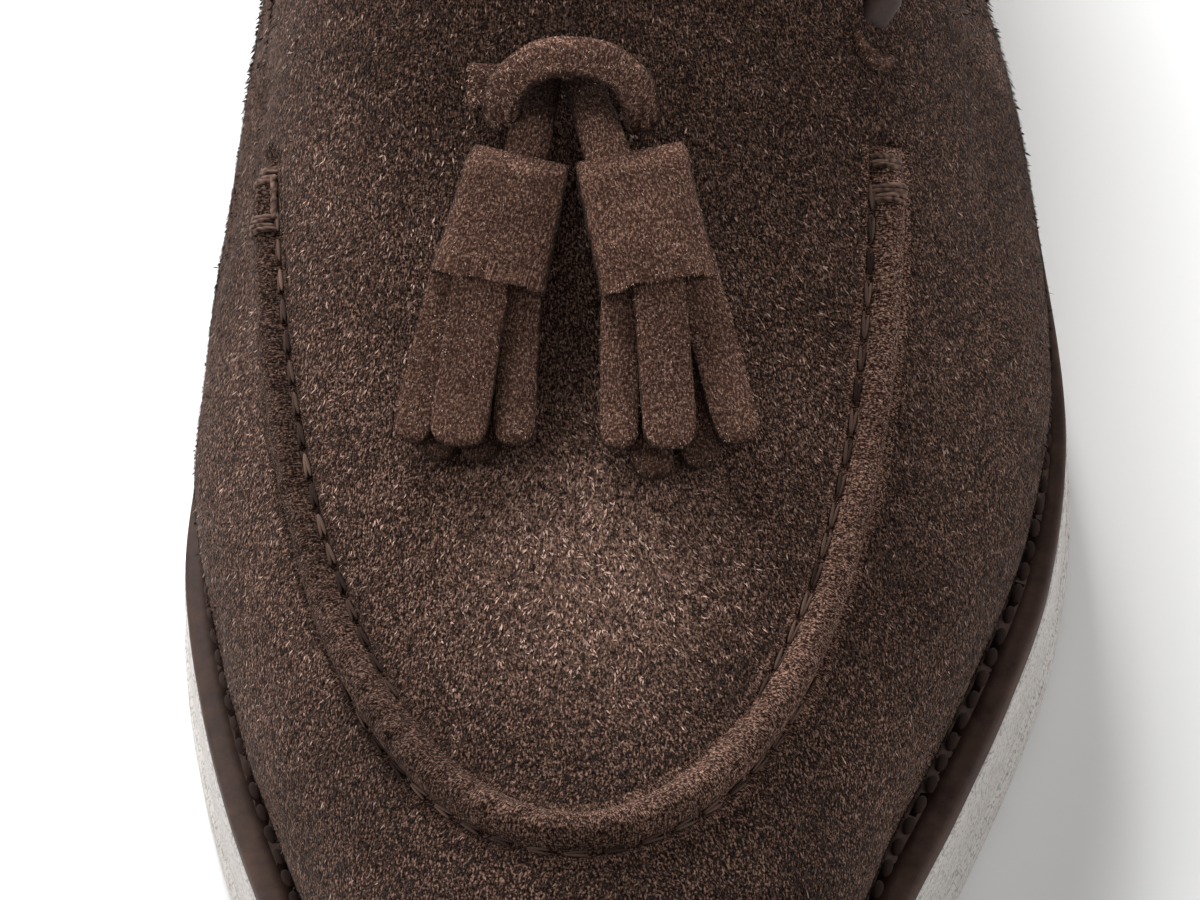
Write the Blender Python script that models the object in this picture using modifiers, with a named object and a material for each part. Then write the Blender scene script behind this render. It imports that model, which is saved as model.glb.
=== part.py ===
"""A left tassel loafer: a hollow suede upper on a leather welt and a pale rubber sole.

The toe points to -Y, the lateral side to +X, and the sole stands on z = 0.
"""

import math

import bmesh
import bpy
from mathutils import Vector

# Driving sizes, in metres
SOLE_LENGTH = 0.300
BALL_WIDTH = 0.1080
HEEL_HEIGHT = 0.028
INSTEP_HEIGHT = 0.075
UPPER_WALL = 0.002
GAP = 0.0003

# The sole's edge and the welt
WELT_THICKNESS = 0.003
WELT_SET_BACK = 0.0009
RUBBER_STEP = 0.0006
RUBBER_BEVEL = 0.0015
INSOLE_RISE = 0.001

# Where the upper meets the welt, measured in from the rubber's edge
FEATHER_SIDE = 0.0045
FEATHER_TOE = 0.0066
FEATHER_HEEL = 0.0036

# How the outlines and the crest close at the toe and the heel, in shares of the length
TOE_ROUND = 0.333
HEEL_ROUND = 0.135
TOE_DOME = 0.13
TOE_SQUARENESS = 2.4
HEEL_DOME = 0.25
HEEL_SQUARENESS = 2.6

# The soft outward belly of the side wall above the welt
BELLY = 0.0026
BELLY_HEIGHT = 0.030

# The raised seam round the apron, from tack to tack round the toe
APRON_TOE = 0.099
APRON_TACK = 0.389
APRON_HALF_WIDTH = 0.0367
APRON_SHIFT = -0.0007
SEAM_WIDTH = 0.0040
SEAM_HEIGHT = 0.0020

# The band that holds the two thongs down
KEEPER_X = -0.0059
KEEPER_Y = -0.0277
KEEPER_BOW = 0.0042
KEEPER_SPAN = 0.0170
KEEPER_FOOT = 0.0030
KEEPER_DEPTH = 0.0054
KEEPER_ARCH = 0.0042
KEEPER_THICKNESS = 0.0018

# The tassels and the collar lace
STRIP_THICKNESS = 0.0019
CAP_THICKNESS = 0.0056
CAP_LIFT = 0.0005
THONG_TOP_WIDTH = 0.0038
THONG_WIDTH = 0.0054
THONG_RISE = 0.0016
THONG_SET_BACK = 0.0022
THONG_END = 0.0040
FRINGE_LAYER = 0.00175
FRINGE_HIDDEN = 0.0040
FRINGE_FALLS = (0.0, 0.0006, 0.0016)
LACE_WIDTH = 0.0046
LACE_THICKNESS = 0.0018

# Outline of the sole: share of the length from the toe, then shares of BALL_WIDTH
OUTLINE = (
    # share, medial, lateral
    (0.00, 0.446, 0.428),
    (0.07, 0.440, 0.425),
    (0.14, 0.440, 0.430),
    (0.19, 0.448, 0.457),
    (0.24, 0.456, 0.490),
    (0.30, 0.463, 0.526),
    (0.37, 0.446, 0.546),
    (0.46, 0.412, 0.522),
    (0.56, 0.374, 0.456),
    (0.66, 0.340, 0.398),
    (0.77, 0.343, 0.361),
    (0.87, 0.356, 0.356),
    (1.00, 0.356, 0.356),
)

# Side view of the sole: share of the length from the toe, then shares of HEEL_HEIGHT
PROFILE = (
    # share, underside, top
    (0.00, 0.29, 0.80),
    (0.08, 0.10, 0.69),
    (0.16, 0.00, 0.61),
    (0.33, 0.00, 0.59),
    (0.42, 0.00, 0.62),
    (0.50, 0.10, 0.73),
    (0.60, 0.24, 0.87),
    (0.693, 0.27, 0.97),
    (0.707, 0.00, 0.98),
    (0.80, 0.00, 1.00),
    (1.00, 0.00, 1.00),
)

# Sections of the last: crest in shares of INSTEP_HEIGHT, lean in shares of BALL_WIDTH
LAST = (
    # share, crest, lean, fullness
    (0.00, 0.37, 0.000, 2.30),
    (0.10, 0.41, 0.000, 2.40),
    (0.20, 0.49, -0.005, 2.45),
    (0.30, 0.62, -0.020, 2.35),
    (0.38, 0.78, -0.035, 2.25),
    (0.46, 0.98, -0.045, 2.28),
    (0.55, 1.28, -0.040, 2.20),
    (0.66, 1.62, -0.020, 2.15),
    (0.80, 1.75, 0.000, 2.25),
    (1.00, 1.75, 0.000, 2.25),
)

# Height of the collar's edge above the welt, in shares of INSTEP_HEIGHT
TOPLINE = (
    # share, height
    (0.40, 1.16),
    (0.455, 0.985),
    (0.50, 0.86),
    (0.58, 0.745),
    (0.70, 0.675),
    (0.85, 0.720),
    (1.00, 0.800),
)

# Path of the collar lace round the shoe: its height above the welt in shares of INSTEP_HEIGHT
LACE = (
    # share, height
    (0.425, 0.69),
    (0.470, 0.715),
    (0.500, 0.715),
    (0.58, 0.630),
    (0.70, 0.560),
    (0.85, 0.600),
    (1.00, 0.680),
)

# Each tassel on the vamp: places across and along, then the cap's width at its top and end
TASSELS = {
    # name: thong top x, thong end x, cap top x, cap top y, cap end x, cap end y, cap widths
    "tassel_medial": (-0.0088, -0.0118, -0.0117, -0.0372, -0.0152, -0.0505, 0.0106, 0.0134),
    "tassel_lateral": (-0.0046, 0.0000, 0.0012, -0.0369, 0.0040, -0.0507, 0.0128, 0.0136),
}

# The fringe below each cap: across at the cap in shares of its width, reach in metres
FRINGE = {
    # name: rows of across at the cap, across at the tip, reach along, width, layer
    "tassel_medial": (
        (-0.33, -0.66, 0.0168, 0.0050, 1),
        (0.02, -0.27, 0.0180, 0.0056, 2),
        (0.34, 0.20, 0.0182, 0.0050, 1),
        (-0.16, -0.46, 0.0186, 0.0048, 0),
        (0.15, -0.10, 0.0192, 0.0048, 0),
    ),
    "tassel_lateral": (
        (-0.35, -0.26, 0.0190, 0.0048, 1),
        (-0.05, 0.12, 0.0182, 0.0056, 2),
        (0.33, 0.66, 0.0172, 0.0052, 1),
        (-0.15, -0.04, 0.0212, 0.0050, 0),
        (0.16, 0.36, 0.0196, 0.0048, 0),
    ),
}


def smooth_value(rows, column, share):
    """One column of a table at a share of the length, as a curve that never overshoots."""
    places = [row[0] for row in rows]
    values = [row[column] for row in rows]
    steps = [b - a for a, b in zip(places, places[1:])]
    rises = [(b - a) / step for a, b, step in zip(values, values[1:], steps)]
    slopes = [0.0] * len(rows)
    for i in range(1, len(rows) - 1):
        if rises[i - 1] * rises[i] > 0:
            slopes[i] = 2 * rises[i - 1] * rises[i] / (rises[i - 1] + rises[i])
    share = min(max(share, places[0]), places[-1])
    i = min(max(sum(place <= share for place in places) - 1, 0), len(steps) - 1)
    u = (share - places[i]) / steps[i]
    start = values[i] * (1 + 2 * u) * (1 - u) ** 2 + values[i + 1] * u * u * (3 - 2 * u)
    return start + steps[i] * (slopes[i] * u * (1 - u) ** 2 - slopes[i + 1] * u * u * (1 - u))


# The sole's middle across, so that the finished object is centred on x = 0
WIDEST = [max(smooth_value(OUTLINE, side, i / 100) for i in range(20, 50)) for side in (1, 2)]
CENTRE_X = BALL_WIDTH * (WIDEST[1] - WIDEST[0]) / 2


def tip_angle(share):
    """How far round the toe or heel end a share lies: 0 along the sides, 1 at the tip."""
    return max(0.0, 1 - share / TOE_ROUND), max(0.0, 1 - (1 - share) / HEEL_ROUND)


def outline_point(share, side, inset_side=0.0, inset_toe=0.0, inset_heel=0.0):
    """A plan point of the sole's outline, drawn in by an inset that may differ at the ends."""
    toe, heel = tip_angle(share)
    inset = inset_side + (inset_toe - inset_side) * toe + (inset_heel - inset_side) * heel
    half = BALL_WIDTH * smooth_value(OUTLINE, 1 if side < 0 else 2, share) - inset
    half *= math.sqrt((1 - toe * toe) * (1 - heel * heel))
    y = inset_toe - SOLE_LENGTH / 2 + share * (SOLE_LENGTH - inset_toe - inset_heel)
    return side * half - CENTRE_X, y


def sole_height(y, column):
    """Height of the sole's underside (1) or top (2) at a place along the shoe."""
    return HEEL_HEIGHT * smooth_value(PROFILE, column, y / SOLE_LENGTH + 0.5)


def seat_height(y):
    """Height of the welt's top with the gap above it, where the upper stands."""
    return sole_height(y, 2) + WELT_THICKNESS + 2 * GAP


def crest_height(share):
    """Height of the last's crest above the welt, domed down at the toe and the heel."""
    toe = max(0.0, 1 - share / TOE_DOME)
    heel = max(0.0, 1 - (1 - share) / HEEL_DOME)
    dome = (1 - toe**TOE_SQUARENESS) ** (1 / TOE_SQUARENESS)
    dome *= (1 - heel**HEEL_SQUARENESS) ** (1 / HEEL_SQUARENESS)
    return INSTEP_HEIGHT * smooth_value(LAST, 1, share) * dome


def collar_angle(share):
    """Angle of a section at which the suede stops: a right angle where it closes over."""
    crest = crest_height(share)
    top = INSTEP_HEIGHT * smooth_value(TOPLINE, 1, share)
    if top >= crest:
        return math.pi / 2
    return math.asin((top / crest) ** (smooth_value(LAST, 3, share) / 2))


def upper_point(share, side, rise):
    """A point of the suede's outer face: rise is 0 at the welt and 1 at crest or collar."""
    x, y = outline_point(share, side, FEATHER_SIDE, FEATHER_TOE, FEATHER_HEEL)
    middle = -CENTRE_X
    power = 2 / smooth_value(LAST, 3, share)
    angle = collar_angle(share) * rise
    crest = crest_height(share)
    height = crest * math.sin(angle) ** power
    lean = BALL_WIDTH * smooth_value(LAST, 2, share)
    part = height / crest if crest > 0 else 0.0
    up = min(height / BELLY_HEIGHT, 1.0)
    belly = BELLY * 4 * up * (1 - up)
    toe, heel = tip_angle(share)
    round_side = math.sqrt((1 - toe * toe) * (1 - heel * heel))
    across = (x - middle) * math.cos(angle) ** power
    return Vector((
        middle + across + lean * part**1.5 + side * belly * round_side * math.cos(angle),
        y + belly * (heel - toe),
        seat_height(y) + height,
    ))


def share_at(y):
    """The share of the upper's length at a place along the shoe."""
    start = FEATHER_TOE - SOLE_LENGTH / 2
    return (y - start) / (SOLE_LENGTH - FEATHER_TOE - FEATHER_HEEL)


def vamp_point(share, x):
    """The suede's outer face at a share of its length and a place across."""
    side = 1 if x > upper_point(share, 1, 1.0)[0] else -1
    low, high = 0.0, 1.0
    for _ in range(40):
        rise = (low + high) / 2
        if (upper_point(share, side, rise)[0] - x) * side > 0:
            low = rise
        else:
            high = rise
    return upper_point(share, side, rise)


def height_point(share, side, height):
    """The suede's outer face at a share of its length and a height above the welt."""
    crest = crest_height(share)
    part = min(height / crest, 1.0) if crest > 0 else 1.0
    angle = math.asin(part ** (smooth_value(LAST, 3, share) / 2))
    return upper_point(share, side, angle / collar_angle(share))


def apron_point(angle):
    """A point of the seam's middle line: -90 degrees at the medial tack, 0 at the toe."""
    share = APRON_TACK - (APRON_TACK - APRON_TOE) * math.cos(angle)
    x = -CENTRE_X + APRON_SHIFT + APRON_HALF_WIDTH * math.sin(angle)
    return share, x


def sole_shares(count):
    """Places along the length, close together at the rounded ends and at the heel's front."""
    shares = [(1 - math.cos(math.pi * i / count)) / 2 for i in range(count + 1)]
    return sorted(shares + [PROFILE[7][0], PROFILE[8][0]])


def new_object(name, mesh, colour, roughness):
    """An object of the loafer with its own plain material."""
    made = bpy.data.objects.new(name, mesh)
    material = bpy.data.materials.new(name)
    material.use_nodes = True
    shader = material.node_tree.nodes["Principled BSDF"]
    shader.inputs["Base Color"].default_value = (*colour, 1.0)
    shader.inputs["Roughness"].default_value = roughness
    mesh.materials.append(material)
    LOAFER.objects.link(made)
    return made


def finish_mesh(name, bm, smooth_angle=40):
    """A mesh with merged seams, outward faces and smooth round parts."""
    bmesh.ops.remove_doubles(bm, verts=bm.verts, dist=1e-6)
    bmesh.ops.dissolve_degenerate(bm, edges=bm.edges, dist=1e-7)
    bmesh.ops.recalc_face_normals(bm, faces=bm.faces)
    mesh = bpy.data.meshes.new(name)
    bm.to_mesh(mesh)
    bm.free()
    mesh.shade_smooth()
    mesh.set_sharp_from_angle(angle=math.radians(smooth_angle))
    return mesh


def plan_ring(bm, shares, insets, height):
    """A ring round the shoe; each place along it gives a medial and a lateral vertex."""
    pairs = []
    for share in shares:
        pair = []
        for side in (-1, 1):
            x, y = outline_point(share, side, *insets)
            pair.append(bm.verts.new((x, y, height(y))))
        pairs.append(pair)
    return pairs


def join_rings(bm, low, high):
    """The side faces between two rings that have the same places along the shoe."""
    for i in range(len(low) - 1):
        for side in (0, 1):
            bm.faces.new((low[i][side], low[i + 1][side], high[i + 1][side], high[i][side]))


def close_ring(bm, ring):
    """A face across the whole of a ring, as rungs from side to side."""
    for i in range(len(ring) - 1):
        bm.faces.new((ring[i][0], ring[i + 1][0], ring[i + 1][1], ring[i][1]))


def stacked_solid(name, shares, levels):
    """A solid from a stack of rings; each level is its insets and its height over y."""
    bm = bmesh.new()
    rings = [plan_ring(bm, shares, insets, height) for insets, height in levels]
    for low, high in zip(rings, rings[1:]):
        join_rings(bm, low, high)
    close_ring(bm, rings[0])
    close_ring(bm, rings[-1])
    return finish_mesh(name, bm)


def build_outsole():
    """The rubber unit: bevelled tread edge, a plain foot band and a set-back side above."""
    def between(part):
        return lambda y: sole_height(y, 1) + part * (sole_height(y, 2) - sole_height(y, 1))

    def even(inset):
        return inset, inset, inset

    levels = (
        (even(RUBBER_BEVEL), between(0.0)),
        (even(0.0), between(0.10)),
        (even(0.0), between(0.27)),
        (even(RUBBER_STEP), between(0.31)),
        (even(RUBBER_STEP), between(0.94)),
        (even(2 * RUBBER_STEP), between(1.0)),
    )
    mesh = stacked_solid("outsole", sole_shares(50), levels)
    return new_object("outsole", mesh, (0.62, 0.60, 0.57), 0.6)


def inner_insets(clearance):
    """Insets of the line just inside the upper's wall."""
    inside = UPPER_WALL + clearance
    return FEATHER_SIDE + inside, FEATHER_TOE + inside, FEATHER_HEEL + inside


def build_welt():
    """The leather ring that is sewn to the upper and laid on the rubber."""
    shares = sole_shares(44)
    outer = (WELT_SET_BACK,) * 3
    inner = inner_insets(GAP)
    bm = bmesh.new()

    def low(y):
        return sole_height(y, 2) + GAP

    def high(y):
        return low(y) + WELT_THICKNESS

    rings = [
        plan_ring(bm, shares, insets, height)
        for insets, height in ((inner, low), (outer, low), (outer, high), (inner, high))
    ]
    for a, b in zip(rings, rings[1:] + rings[:1]):
        join_rings(bm, a, b)
    return new_object("welt", finish_mesh("welt", bm), (0.075, 0.042, 0.030), 0.45)


def build_insole():
    """The board inside the welt and the upper, standing on the rubber."""
    edge = inner_insets(2 * GAP)
    levels = (
        (edge, lambda y: sole_height(y, 2) + GAP),
        (edge, lambda y: seat_height(y) + INSOLE_RISE),
    )
    mesh = stacked_solid("insole", sole_shares(40), levels)
    return new_object("insole", mesh, (0.22, 0.13, 0.075), 0.6)


def collar_end(closed, opened):
    """The share at which the collar's edge meets the crest, between a closed and an open one."""
    for _ in range(40):
        middle = (closed + opened) / 2
        if collar_angle(middle) < math.pi / 2:
            opened = middle
        else:
            closed = middle
    return closed


def upper_shares():
    """Places of the upper's sections: close at the toe, at the throat and at the heel."""
    throat = collar_end(0.40, 0.50)
    back = collar_end(1.0, 0.90)
    toe = [TOE_DOME * (i / 11) ** 2.2 for i in range(12)]
    vamp = [TOE_DOME + (throat - TOE_DOME) * i / 12 for i in range(1, 13)]
    mouth = [throat + step for step in (0.003, 0.008, 0.016, 0.028, 0.045)]
    quarter = [0.53 + 0.030 * i for i in range(8)]
    heel = [back - (back - 0.77) * (i / 8) ** 2 for i in range(8, -1, -1)]
    seat = [1 - (1 - back) * (i / 5) ** 3 for i in range(4, -1, -1)]
    return toe + vamp + mouth + quarter + heel + seat


def build_upper():
    """The hollow suede shell, drawn through its sections and thickened inward."""
    columns = 11
    bm = bmesh.new()
    rows = []
    for share in upper_shares():
        lateral = [upper_point(share, 1, j / columns) for j in range(columns + 1)]
        medial = [upper_point(share, -1, j / columns) for j in range(columns + 1)]
        rows.append([[bm.verts.new(point) for point in side] for side in (medial, lateral)])
    for before, after in zip(rows, rows[1:]):
        for side in (0, 1):
            a, b = before[side], after[side]
            for j in range(columns):
                bm.faces.new((a[j], b[j], b[j + 1], a[j + 1]))
    mesh = finish_mesh("upper", bm)
    upper = new_object("upper", mesh, (0.070, 0.045, 0.036), 0.9)
    wall = upper.modifiers.new("wall", "SOLIDIFY")
    wall.thickness = UPPER_WALL
    wall.offset = -1
    wall.use_even_offset = True
    return upper


def vamp_frame(share, x):
    """A point of the vamp and the direction that stands out from the suede there."""
    step = 0.0004
    point = vamp_point(share, x)
    along = vamp_point(share + step / SOLE_LENGTH, x) - point
    across = vamp_point(share, x + step) - point
    return point, across.cross(along).normalized()


def laid_bar(frames, sections):
    """A bar laid on the suede: each frame is a point, its outward direction and a section.

    A section lists (across, out) pairs in metres; both ends are closed with a face.
    """
    bm = bmesh.new()
    rows = []
    for i, ((point, out), section) in enumerate(zip(frames, sections)):
        before = frames[max(i - 1, 0)][0]
        after = frames[min(i + 1, len(frames) - 1)][0]
        across = (after - before).cross(out).normalized()
        rows.append([bm.verts.new(point + across * a + out * o) for a, o in section])
    for low, high in zip(rows, rows[1:]):
        for j in range(len(low)):
            k = (j + 1) % len(low)
            bm.faces.new((low[j], low[k], high[k], high[j]))
    bm.faces.new(rows[0])
    bm.faces.new(rows[-1])
    return bm


def strip_section(width, low, thickness):
    """A flat strip with softened edges, seen on its end."""
    half = width / 2
    inner = half - thickness * 0.3
    middle = low + thickness / 2
    high = low + thickness
    return [(-inner, low), (inner, low), (half, middle), (inner, high), (-inner, high),
            (-half, middle)]


def cap_section(width, low, thickness):
    """The rounded end view of a tassel's wrapped cap."""
    half = width / 2
    points = []
    for i in range(12):
        angle = 2 * math.pi * (i + 0.5) / 12
        across = math.copysign(abs(math.cos(angle)) ** 0.6, math.cos(angle))
        out = math.copysign(abs(math.sin(angle)) ** 0.6, math.sin(angle))
        points.append((half * across, low + thickness / 2 * (1 + out)))
    return points


def build_seam():
    """The rolled ridge of the apron seam, laid along its U from tack to tack."""
    count = 52
    half = SEAM_WIDTH / 2
    round_top = [
        (half * math.cos(math.pi * i / 5), GAP + SEAM_HEIGHT * math.sin(math.pi * i / 5))
        for i in range(6)
    ]
    frames = []
    for i in range(count + 1):
        share, x = apron_point(math.pi * (i / count - 0.5))
        frames.append(vamp_frame(share, x))
    bm = laid_bar(frames, [round_top] * len(frames))
    return new_object("apron_seam", finish_mesh("apron_seam", bm), (0.075, 0.048, 0.038), 0.9)


def build_keeper():
    """The suede band: a low arch bowed back over the vamp, with a flat foot at each end."""
    half = KEEPER_SPAN / 2
    steps = [(-half - KEEPER_FOOT, 0.0), (-half - KEEPER_FOOT / 2, 0.0)]
    for i in range(13):
        angle = math.pi * i / 12
        steps.append((-half * math.cos(angle), max(0.0, math.sin(angle))))
    steps += [(half + KEEPER_FOOT / 2, 0.0), (half + KEEPER_FOOT, 0.0)]
    frames = []
    for across, arch in steps:
        share = share_at(KEEPER_Y - KEEPER_BOW * (1 - arch))
        point, out = vamp_frame(share, KEEPER_X + across)
        frames.append((point + out * KEEPER_ARCH * arch**0.7, out))
    spine = [point for point, _ in frames]
    turned = []
    for i, (point, out) in enumerate(frames):
        way = spine[min(i + 1, len(spine) - 1)] - spine[max(i - 1, 0)]
        side = way.cross(out).normalized()
        turned.append((point, side.cross(way).normalized()))
    section = strip_section(KEEPER_DEPTH, GAP, KEEPER_THICKNESS)
    bm = laid_bar(turned, [section] * len(turned))
    mesh = finish_mesh("tassel_keeper", bm)
    return new_object("tassel_keeper", mesh, (0.070, 0.045, 0.036), 0.9)


def bar_along(start, end, count, section_at):
    """A bar over the vamp between two plan places; section_at gives its end view by share."""
    frames, sections = [], []
    for i in range(count + 1):
        u = i / count
        x = start[0] + (end[0] - start[0]) * u
        y = start[1] + (end[1] - start[1]) * u
        frames.append(vamp_frame(share_at(y), x))
        sections.append(section_at(u))
    return laid_bar(frames, sections)


def build_tassel(name):
    """One tassel as a single piece: thong, wrapped cap and the fringe that comes out of it."""
    thong_x, thong_end_x, top_x, top_y, end_x, end_y, top_width, end_width = TASSELS[name]
    top, end = (top_x, top_y), (end_x, end_y)
    rounding = {0.0: 0.80, 1.0: 0.98}

    def cap(u):
        width = (top_width + (end_width - top_width) * u) * rounding.get(u, 1.0)
        thickness = CAP_THICKNESS * (0.72 if u == 0.0 else 1.0)
        return cap_section(width, CAP_LIFT + (CAP_THICKNESS - thickness) / 2, thickness)

    def thong(u):
        width = THONG_TOP_WIDTH + (THONG_WIDTH - THONG_TOP_WIDTH) * u
        return strip_section(width, CAP_LIFT + THONG_RISE * u, STRIP_THICKNESS)

    pieces = [bar_along(top, end, 6, cap)]
    inside = (thong_end_x, top_y - THONG_END)
    pieces.append(bar_along((thong_x, KEEPER_Y - THONG_SET_BACK), inside, 5, thong))
    for at_cap, at_tip, reach, width, layer in FRINGE[name]:
        low = CAP_LIFT + layer * FRINGE_LAYER

        def strip(u, low=low, width=width, layer=layer):
            fall = FRINGE_FALLS[layer] * u * u
            narrow = 0.55 if u == 1.0 else 1.0
            return strip_section(width * narrow, low - fall, STRIP_THICKNESS)

        start = (end_x + at_cap * end_width, end_y + FRINGE_HIDDEN)
        tip = (end_x + at_tip * end_width, end_y - reach)
        pieces.append(bar_along(start, tip, 6, strip))
    objects = []
    for piece in pieces:
        mesh = finish_mesh(name, piece)
        made = bpy.data.objects.new(name + "_piece", mesh)
        CUTTERS.objects.link(made)
        made.hide_render = True
        made.display_type = "WIRE"
        objects.append(made)
    base = objects[0].data.copy()
    tassel = new_object(name, base, (0.078, 0.050, 0.040), 0.9)
    for i, other in enumerate(objects[1:]):
        join = tassel.modifiers.new(f"join_{i}", "BOOLEAN")
        join.operation = "UNION"
        join.solver = "EXACT"
        join.object = other
    return tassel


def build_lace():
    """The leather lace round the outside of the collar, its two ends sunk into the vamp."""
    low, high = LACE[0][0], 1.0
    for _ in range(40):
        back = (low + high) / 2
        if crest_height(back) > INSTEP_HEIGHT * smooth_value(LACE, 1, back):
            low = back
        else:
            high = back
    sides = []
    for side, front in ((-1, 0.472), (1, LACE[0][0])):
        shares = [back - (back - front) * (i / 26) ** 1.5 for i in range(27)]
        sides.append([(share, side) for share in shares])
    frames = []
    for share, side in sides[0][::-1] + sides[1][1:]:
        height = INSTEP_HEIGHT * smooth_value(LACE, 1, share)
        point = height_point(share, side, height)
        above = height_point(share, side, min(height + 0.0004, crest_height(share)))
        toward = height_point(share - 0.0012, side, height)
        if share == back:
            out = Vector((0.0, 1.0, 0.1))
        else:
            out = (above - point).cross(toward - point) * side
        frames.append((point, out.normalized()))
    body = strip_section(LACE_WIDTH, GAP, LACE_THICKNESS)
    sunk = strip_section(LACE_WIDTH * 0.8, GAP, LACE_THICKNESS * 0.4)
    sections = [sunk] + [body] * (len(frames) - 2) + [sunk]
    bm = laid_bar(frames, sections)
    return new_object("collar_lace", finish_mesh("collar_lace", bm), (0.055, 0.032, 0.024), 0.4)


for leftover in list(bpy.data.objects):
    bpy.data.objects.remove(leftover)
LOAFER = bpy.data.collections.new("tassel_loafer")
bpy.context.scene.collection.children.link(LOAFER)
CUTTERS = bpy.data.collections.new("joined_pieces")
bpy.context.scene.collection.children.link(CUTTERS)

build_outsole()
build_welt()
build_insole()
build_upper()
build_seam()
build_keeper()
for tassel_name in TASSELS:
    build_tassel(tassel_name)
build_lace()
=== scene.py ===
# %% [markdown]
# A left tassel loafer in dark brown suede, seen from in front and high above the toe.
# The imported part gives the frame. This script lays the real skin over it: nap, seam, stitches,
# fringe, welt and rubber. All sizes are in metres, the toe points to -Y and lateral is +X.

import math

import bmesh
import bpy
import numpy as np
from mathutils import Matrix, Vector, noise


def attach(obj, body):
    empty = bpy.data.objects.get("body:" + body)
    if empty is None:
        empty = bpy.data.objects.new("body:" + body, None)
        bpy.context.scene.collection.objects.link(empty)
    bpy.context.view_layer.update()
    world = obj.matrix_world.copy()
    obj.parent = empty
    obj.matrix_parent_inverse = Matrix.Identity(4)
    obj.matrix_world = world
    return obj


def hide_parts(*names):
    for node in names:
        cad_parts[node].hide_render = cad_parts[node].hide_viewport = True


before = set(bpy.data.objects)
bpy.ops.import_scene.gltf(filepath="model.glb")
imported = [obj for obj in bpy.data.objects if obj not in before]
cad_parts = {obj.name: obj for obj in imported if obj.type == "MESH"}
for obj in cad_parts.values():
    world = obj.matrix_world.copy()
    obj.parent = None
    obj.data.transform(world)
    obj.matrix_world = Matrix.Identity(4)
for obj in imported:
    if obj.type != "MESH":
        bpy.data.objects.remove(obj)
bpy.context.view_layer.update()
print("CAD nodes:", sorted(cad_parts))

# %% [markdown]
# The last gives the shoe its form. Each table row is one section across the shoe, and the
# shares are of the length, the ball width, the heel height or the instep height. The skin is
# drawn from the same sections as the part, only much closer together.

# %% Sizes and tables of the last
SOLE_LENGTH = 0.300
BALL_WIDTH = 0.1080
HEEL_HEIGHT = 0.028
INSTEP_HEIGHT = 0.075
UPPER_WALL = 0.002
GAP = 0.0003
WELT_THICKNESS = 0.003
WELT_SET_BACK = 0.0009
FEATHER_SIDE, FEATHER_TOE, FEATHER_HEEL = 0.0045, 0.0066, 0.0036
TOE_ROUND, HEEL_ROUND = 0.333, 0.135
TOE_DOME, TOE_SQUARENESS = 0.13, 2.4
HEEL_DOME, HEEL_SQUARENESS = 0.25, 2.6
BELLY, BELLY_HEIGHT = 0.0026, 0.030

OUTLINE = (
    # share, medial, lateral
    (0.00, 0.446, 0.428),
    (0.07, 0.440, 0.425),
    (0.14, 0.440, 0.430),
    (0.19, 0.448, 0.457),
    (0.24, 0.456, 0.490),
    (0.30, 0.463, 0.526),
    (0.37, 0.446, 0.546),
    (0.46, 0.412, 0.522),
    (0.56, 0.374, 0.456),
    (0.66, 0.340, 0.398),
    (0.77, 0.343, 0.361),
    (0.87, 0.356, 0.356),
    (1.00, 0.356, 0.356),
)
PROFILE = (
    # share, underside, top
    (0.00, 0.29, 0.80),
    (0.08, 0.10, 0.69),
    (0.16, 0.00, 0.61),
    (0.33, 0.00, 0.59),
    (0.42, 0.00, 0.62),
    (0.50, 0.10, 0.73),
    (0.60, 0.24, 0.87),
    (0.693, 0.27, 0.97),
    (0.707, 0.00, 0.98),
    (0.80, 0.00, 1.00),
    (1.00, 0.00, 1.00),
)
LAST = (
    # share, crest, lean, fullness
    (0.00, 0.37, 0.000, 2.30),
    (0.10, 0.41, 0.000, 2.40),
    (0.20, 0.49, -0.005, 2.45),
    (0.30, 0.62, -0.020, 2.35),
    (0.38, 0.78, -0.035, 2.25),
    (0.46, 0.98, -0.045, 2.28),
    (0.55, 1.28, -0.040, 2.20),
    (0.66, 1.62, -0.020, 2.15),
    (0.80, 1.75, 0.000, 2.25),
    (1.00, 1.75, 0.000, 2.25),
)
TOPLINE = (
    # share, height
    (0.40, 1.16),
    (0.455, 0.985),
    (0.50, 0.86),
    (0.58, 0.745),
    (0.70, 0.675),
    (0.85, 0.720),
    (1.00, 0.800),
)
LACE = (
    # share, height
    (0.425, 0.69),
    (0.470, 0.715),
    (0.500, 0.715),
    (0.58, 0.630),
    (0.70, 0.560),
    (0.85, 0.600),
    (1.00, 0.680),
)

# %% [markdown]
# A smooth curve is laid through each column of a table. It takes its slopes from the rows
# beside it and is flat where they turn, so it never swings past a row.

# %% Curves through the tables


def curve_through(rows, column):
    """A smooth function of the share through one table column, which never overshoots."""
    places = np.array([row[0] for row in rows])
    values = np.array([row[column] for row in rows])
    steps = np.diff(places)
    rises = np.diff(values) / steps
    slopes = np.zeros(len(rows))
    both = rises[:-1] * rises[1:]
    total = np.where(both > 0, rises[:-1] + rises[1:], 1.0)
    slopes[1:-1] = np.where(both > 0, 2 * both / total, 0.0)

    def value(share):
        """The column's value at a share, held at the first and the last row."""
        share = np.clip(share, places[0], places[-1])
        i = np.clip(np.searchsorted(places, share, side="right") - 1, 0, len(steps) - 1)
        u = (share - places[i]) / steps[i]
        start = values[i] * (1 + 2 * u) * (1 - u) ** 2 + values[i + 1] * u * u * (3 - 2 * u)
        turn = slopes[i] * u * (1 - u) ** 2 - slopes[i + 1] * u * u * (1 - u)
        return start + steps[i] * turn

    return value


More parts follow.
